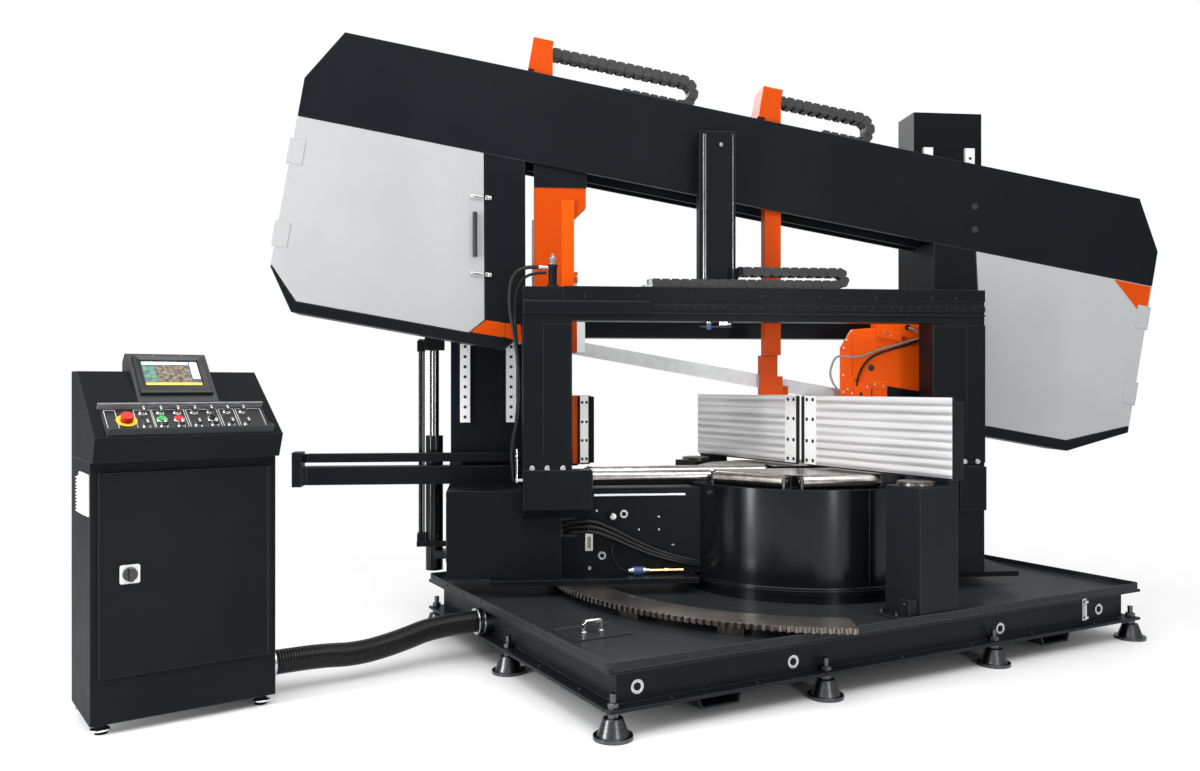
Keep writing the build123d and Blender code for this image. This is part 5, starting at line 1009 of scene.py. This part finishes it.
# The guide arms: orange welded masts on carriages along the spine's rails, ending in blocks that
# hold the blade, each followed by an energy chain on the bow's top. The left arm has a bent
# flange, a charcoal cover plate and a steel strip with a stop pin screwed to it.
# The flange's enamel is a lighter copy of the orange: painted light on the flange's face, which is turned more towards
# the light than the arm.
flange_orange_lit = paint(
    "flange_orange_enamel", "orange_paint", (0.68, 0.074, 0.0025), (0.74, 0.082, 0.003), (0.9, 0.2, 0.03), 0.34,
)
dress(orange, "left_guide_arm", "right_guide_arm", "right_blade_guide")
dress(rail_steel, "left_blade_guide")
flange_outline = ((-1238, -117), (-1238, -120), (-1179, -134), (-1179, -117))
fit(
    "left_arm_flange", "left_guide", HEAD, flange_orange_lit, 1.0,
    (sheet, flange_outline, 1704, 2155), (block, -1178, -1160, -112, -92, 1752, 1806),
)
fit("left_arm_cover", "left_guide", HEAD, charcoal, 0.6, (block, -1376, -1117, -122, -118.3, 2216, 2352))
fit(
    "left_arm_steel", "left_guide", HEAD, bright_steel, 0.5,
    (block, -1384, -1374, -112, -70, 1640, 2060),
    (hex_bolt, (-1169, -112, 1782), FRONT, 6),
    (turned, (-1169, -96, 1700), UP, rod(5, 56), 14),
)
chain_links("left_chain_links", "left_arm_chain", "bow", BOW, -1560, -1180, -797, 1315, 175, 48, -32, 54)
chain_links("right_chain_links", "right_arm_chain", "bow", BOW, -390, -130, 144, 1315, 175, 48, -32, 54)

# The console: a sheet steel cabinet on feet with a hinged door, turned a little towards the
# operator and painted a duller charcoal, with a sloping desk on top. A white filter grille is
# screwed to its left side, and the main switch has a white plate on the door.
console_corner = Vector((-3266, -77, 0))
console_turn = Matrix.Rotation(math.radians(7.7), 4, "Z")
CONSOLE = BASE @ Matrix.Translation(console_corner * 0.001) @ console_turn
console_width, console_depth, foot_inset = 656.0, 384.0, 40
console_enamel = paint(
    "console_enamel", "charcoal_paint",
    (0.0098, 0.0112, 0.0126), (0.0118, 0.0132, 0.0148), (0.062, 0.066, 0.070), 0.5, 0.06, 0.03,
)
black_gloss = plastic("knob_plastic", (0.010, 0.010, 0.011), (0.016, 0.016, 0.017), 0.2, 0.02)
white_plastic = plastic("white_plastic", (0.72, 0.72, 0.70), (0.8, 0.8, 0.78), 0.4, slot="light_grey_paint")
dress(console_enamel, "console_cabinet", "console_desk", "console_door")
dress(black_gloss, "main_switch", "mode_selector")


def ringed_square(mesh, x, y, z, half, bore, thick):
    """A square plate with a round bore, facing -Y."""
    ways = [(math.cos(turn), math.sin(turn)) for turn in (math.pi * (i + 0.5) / 20 for i in range(40))]
    rings = []
    for depth in (0.0, -thick):
        for reaches in ([bore for way in ways], [half / max(abs(cx), abs(cz)) for cx, cz in ways]):
            rings.append([
                mesh.verts.new((x + reach * cx, y + depth, z + reach * cz)) for reach, (cx, cz) in zip(reaches, ways)
            ])
    skin(mesh, [rings[i] for i in (0, 1, 3, 2, 0)])


switch_x, switch_z, door_face = 128.0, 570.0, -14.0
fit(
    "main_switch_plate", "cabinet_door", CONSOLE, white_plastic, 0.5,
    (ringed_square, switch_x, door_face, switch_z, 34, 25, 2),
)
fit(
    "filter_grille", "base", CONSOLE, white_plastic, 0.8,
    (block, -6, 0, 6, 186, 783, 932),
    *[(prism, [(-6, z), (-18, z - 2), (-18, z + 2), (-6, z + 8)], 14, 178) for z in range(792, 792 + 12 * 11, 12)],
)
foot_flange = [(0, 0), (34, 0), (34, 6), (16, 12), (16, 26), (0, 26)]
fit(
    "console_foot_flanges", "base", CONSOLE, chrome, 0.6,
    *[(turned, (x, y, 14), UP, foot_flange, 28)
      for x in (foot_inset, console_width - foot_inset) for y in (foot_inset, console_depth - foot_inset)],
)

# The operating panel: a black engraved plate between a folded front lip and a brushed back strip,
# screwed to the desk's slope, with chrome-collared lever switches in two rows, push buttons
# between them and a red mushroom button on a yellow ring.
desk_front, desk_low = -83.0, 1066.0
slope = math.atan2(235.0, 347.0)
PANEL = CONSOLE @ Matrix.Translation((0, desk_front * 0.001, desk_low * 0.001)) @ Matrix.Rotation(slope, 4, "X")
panel_black = plastic("panel_black", (0.008, 0.008, 0.009), (0.013, 0.013, 0.014), 0.3, 0.03)
lip_enamel = paint(
    "lip_enamel", "charcoal_paint", (0.030, 0.032, 0.035), (0.038, 0.040, 0.044), (0.09, 0.092, 0.096), 0.3,
)
strip_steel = bare_metal("strip_steel", (0.20, 0.20, 0.21), (0.30, 0.30, 0.31), 0.4, (1, 1, 8), 0.05, 30.0, 0.5)
yellow = plastic("yellow_ring", (0.85, 0.5, 0.01), (0.95, 0.58, 0.02), 0.35)
red_plastic = plastic("red_button", (0.55, 0.012, 0.01), (0.68, 0.02, 0.015), 0.22, 0.02, slot="red_plastic")
green_plastic = plastic("green_button", (0.015, 0.30, 0.04), (0.02, 0.38, 0.06), 0.22, 0.02, slot="green_plastic")
dress(red_plastic, "emergency_stop", "stop_button")
dress(green_plastic, "start_button")
key_pitch, key_row, key_hole, lever_rows = console_width / 11, 95.0, 17.0, (54.0, 136.0)
panel_left, panel_right, panel_low, panel_high = 40.0, console_width - 36, 8.0, 166.0
plate_thick, lip_rise, cheek_reach, cheek_sheet = 2, 34, 70, 3
row_low, row_high = key_row - key_hole, key_row + key_hole
stop_x, *button_x = [key_pitch * k for k in (2, 4, 5, 7)]
plate_edges = [panel_left, *[x + side for x in (stop_x, *button_x) for side in (-key_hole, key_hole)], panel_right]
fit(
    "panel_plate", "base", PANEL, panel_black, 0,
    (block, panel_left, panel_right, panel_low, row_low, 0, plate_thick),
    (block, panel_left, panel_right, row_high, panel_high, 0, plate_thick),
    *[(block, near, far, row_low, row_high, 0, plate_thick) for near, far in zip(plate_edges[::2], plate_edges[1::2])],
)
cheek = [
    (panel_low, 0), (panel_low, lip_rise), (panel_low + cheek_reach, plate_thick), (panel_low + cheek_reach, 0),
]
fit(
    "panel_lip", "base", PANEL, lip_enamel, 1.0,
    (block, panel_left, panel_right, 1, panel_low, 0, lip_rise),
    *[(slab, [(x, y, z) for y, z in cheek], [(x + cheek_sheet, y, z) for y, z in cheek])
      for x in (panel_left, panel_right - cheek_sheet)],
)
fit(
    "panel_strip", "base", PANEL, strip_steel, 1.0,
    (block, panel_left - 8, panel_right, panel_high, panel_high + 8, 0, 26),
)


def outline_strip(mesh, x0, x1, y0, y1, z0, z1, width):
    """Four thin lines round a field."""
    block(mesh, x0, x1, y0, y0 + width, z0, z1)
    block(mesh, x0, x1, y1 - width, y1, z0, z1)
    block(mesh, x0, x0 + width, y0 + width, y1 - width, z0, z1)
    block(mesh, x1 - width, x1, y0 + width, y1 - width, z0, z1)


fit(
    "panel_lines", "base", PANEL, white_plastic, 0,
    *[(outline_strip, first * key_pitch, last * key_pitch, 24, 160, plate_thick, plate_thick + 0.4, 1.8)
      for first, last in ((0.85, 1.5), (2.5, 3.5), (3.55, 5.45), (5.55, 7.45), (7.55, 8.5), (8.6, 10.2))],
)
button_collar = [(15, 0), (20, 0), (20, 3), (18, 5), (15, 5), (15, 0)]
lever_collar = [(0, 0), (15, 0), (15, 4), (12, 7), (12, 12), (0, 12)]
stop_ring = [(21, 0), (36, 0), (36, 0.8), (34, 1.4), (21, 1.4), (21, 0)]
levers = [(key_pitch * step, row) for row in lever_rows for step in range(3, 10)]
fit(
    "key_collars", "base", PANEL, chrome, 0.3,
    *[(turned, (x, key_row, plate_thick), UP, button_collar, 32) for x in button_x],
    *[(turned, (x, y, plate_thick), UP, lever_collar, 24) for x, y in levers],
)
fit(
    "key_bodies", "base", PANEL, black_gloss, 0.3,
    *[(turned, (x, y, 14), UP, cap(11, 6, 9, 8, -4), 22) for x, y in levers],
)
fit(
    "key_levers", "base", PANEL, chrome, 1.0,
    *[(block, x - 4, x + 4, y - 11, y + 9, 20, 32) for x, y in levers],
)
fit("stop_button_ring", "base", PANEL, yellow, 0.3, (turned, (stop_x, key_row, plate_thick), UP, stop_ring, 40))

# The screen: a folded hood leaning back on the desk, with a bevelled bezel round a glass touch
# panel that shows a dark page with pale and yellow bars; two screws hold the hood's top edge.
hood_plastic = plastic("hood_plastic", (0.011, 0.012, 0.013), (0.017, 0.018, 0.019), 0.38)
dress(hood_plastic, "screen_unit")
hood_run, hood_height, hood_middle = 215.0, 275.0, 323.0
hood_foot = Vector((hood_middle, desk_front + hood_run * math.cos(slope), desk_low + hood_run * math.sin(slope)))
SCREEN = CONSOLE @ Matrix.Translation(hood_foot * 0.001) @ Matrix.Rotation(math.radians(42.0), 4, "X")
bezel_y, glass_y = 145.0, 158.0


def bevelled_frame(mesh, *steps):
    """A rectangular frame: rings of half width, half height, middle and level."""
    skin(mesh, [
        [mesh.verts.new((sx * half_x, middle + sy * half_y, level)) for sx, sy in ((-1, -1), (1, -1), (1, 1), (-1, 1))]
        for half_x, half_y, middle, level in steps
    ])


fit(
    "screen_bezel", "base", SCREEN, panel_black, 1.5,
    (bevelled_frame, (131, 108, bezel_y, 0), (131, 108, bezel_y, 12), (124, 101, bezel_y, 16),
     (106, 72, glass_y, 8), (106, 72, glass_y, 0)),
)
fit(
    "hood_screws", "base", SCREEN, bright_steel, 0,
    *[(turned, (x, hood_height - 12, 0), UP, [(0, 0), (4.5, 0), (3.5, 2), (0, 2.5)], 14) for x in (-52, 52)],
)


def lit(name, dark, light, scale, glow):
    """A lit patch of the screen."""
    finish, tree, shader = new_finish(name)
    finish["slot"] = "black_plastic"
    tone = shades(tree, noise(tree, scale, 3.0), dark, light, 0.4, 0.6)
    feed(tree, shader, Base_Color=tone, Emission_Color=tone, Emission_Strength=glow, Roughness=0.12)
    return finish


for name, x0, x1, y0, y1, top, dark, light, scale, glow in (
    ("screen_ground", -105, 105, -71, 71, 1.0, (0.03, 0.035, 0.05), (0.05, 0.06, 0.08), 20.0, 0.3),
    ("screen_header", -102, 70, 52, 69, 1.6, (0.55, 0.68, 0.85), (0.75, 0.85, 0.95), 30.0, 0.5),
    ("screen_view", -102, -58, -48, 46, 1.6, (0.02, 0.10, 0.10), (0.10, 0.24, 0.16), 45.0, 0.35),
    ("screen_table", -54, 68, -48, 46, 1.6, (0.03, 0.02, 0.012), (0.20, 0.15, 0.10), 60.0, 0.35),
    ("screen_keys", 74, 102, -30, 69, 1.6, (0.5, 0.65, 0.85), (0.8, 0.88, 0.95), 50.0, 0.45),
    ("screen_footer", -102, 102, -69, -53, 1.6, (0.8, 0.6, 0.02), (0.95, 0.75, 0.05), 30.0, 0.5),
):
    fit(
        name, "base", SCREEN, lit(name + "_light", dark, light, scale, glow), 0,
        (block, x0, x1, glass_y + y0, glass_y + y1, 0.2, top),
    )

# The supply hose: a ribbed plastic hose with a smooth bore that brings the cables from the console
# to the base, pushed over steel flanges at both ends and held by chromed clamp bands.
hose_black = plastic("hose_plastic", (0.004, 0.004, 0.0045), (0.007, 0.007, 0.0075), 0.24, 0.02, 420.0, 0.3)
dress(bright_steel, "hose_flanges")
outlet_y, outlet_z, rib_pitch, hose_sides = 122, 130, 12.0, 36
base_fitting = (-1690, 250, 170)
hose_start, hose_bend = (
    console_corner + console_turn @ Vector((console_width + reach, outlet_y, outlet_z)) for reach in (30, 210)
)
hose_points = [
    hose_start, hose_bend, hose_bend + Vector((175, 22, -22)), (-2060, 205, 133), (-1880, 250, 170), base_fitting,
]
route, hose_line = smooth_curve("hose_route", hose_points, 60)
bpy.data.objects.remove(route)
hose_runs = [0.0]
for a, b in zip(hose_line, hose_line[1:]):
    hose_runs.append(hose_runs[-1] + (b - a).length)
hose_length = hose_runs[-1]
rib_count = round(hose_length / rib_pitch)


def along_hose(run):
    """The point at a length along the hose, and the way it goes there."""
    for i in range(1, len(hose_runs)):
        if hose_runs[i] >= run or i == len(hose_runs) - 1:
            share = (run - hose_runs[i - 1]) / (hose_runs[i] - hose_runs[i - 1])
            return hose_line[i - 1].lerp(hose_line[i], share), (hose_line[i] - hose_line[i - 1]).normalized()


hose = bmesh.new()
hose_rings = []
for rib in range(rib_count):
    for share, radius in ((0.0, 46.0), (0.2, 47.0), (0.32, 49.6), (0.5, 50.0), (0.68, 49.6), (0.8, 47.0)):
        point, way = along_hose((rib + share) * hose_length / rib_count)
        across = way.cross(Vector(UP)).normalized()
        up = across.cross(way)
        hose_rings.append([
            hose.verts.new(point + radius * (across * math.cos(a) + up * math.sin(a)))
            for a in (2 * math.pi * i / hose_sides for i in range(hose_sides))
        ])
skin(hose, hose_rings)
hose.faces.new(hose_rings[0][::-1])
hose.faces.new(hose_rings[-1])
supply_hose = piece("supply_hose_ribbed", hose, "base", BASE, hose_black, 0)
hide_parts("supply_hose")
clamp_bands = fit(
    "hose_clamp_bands", "base", BASE, chrome, 0.5,
    (turned, base_fitting, RIGHT, band(58, 60, 4, 20), 40), (turned, base_fitting, RIGHT, band(58, 61, 30, 40), 40),
)
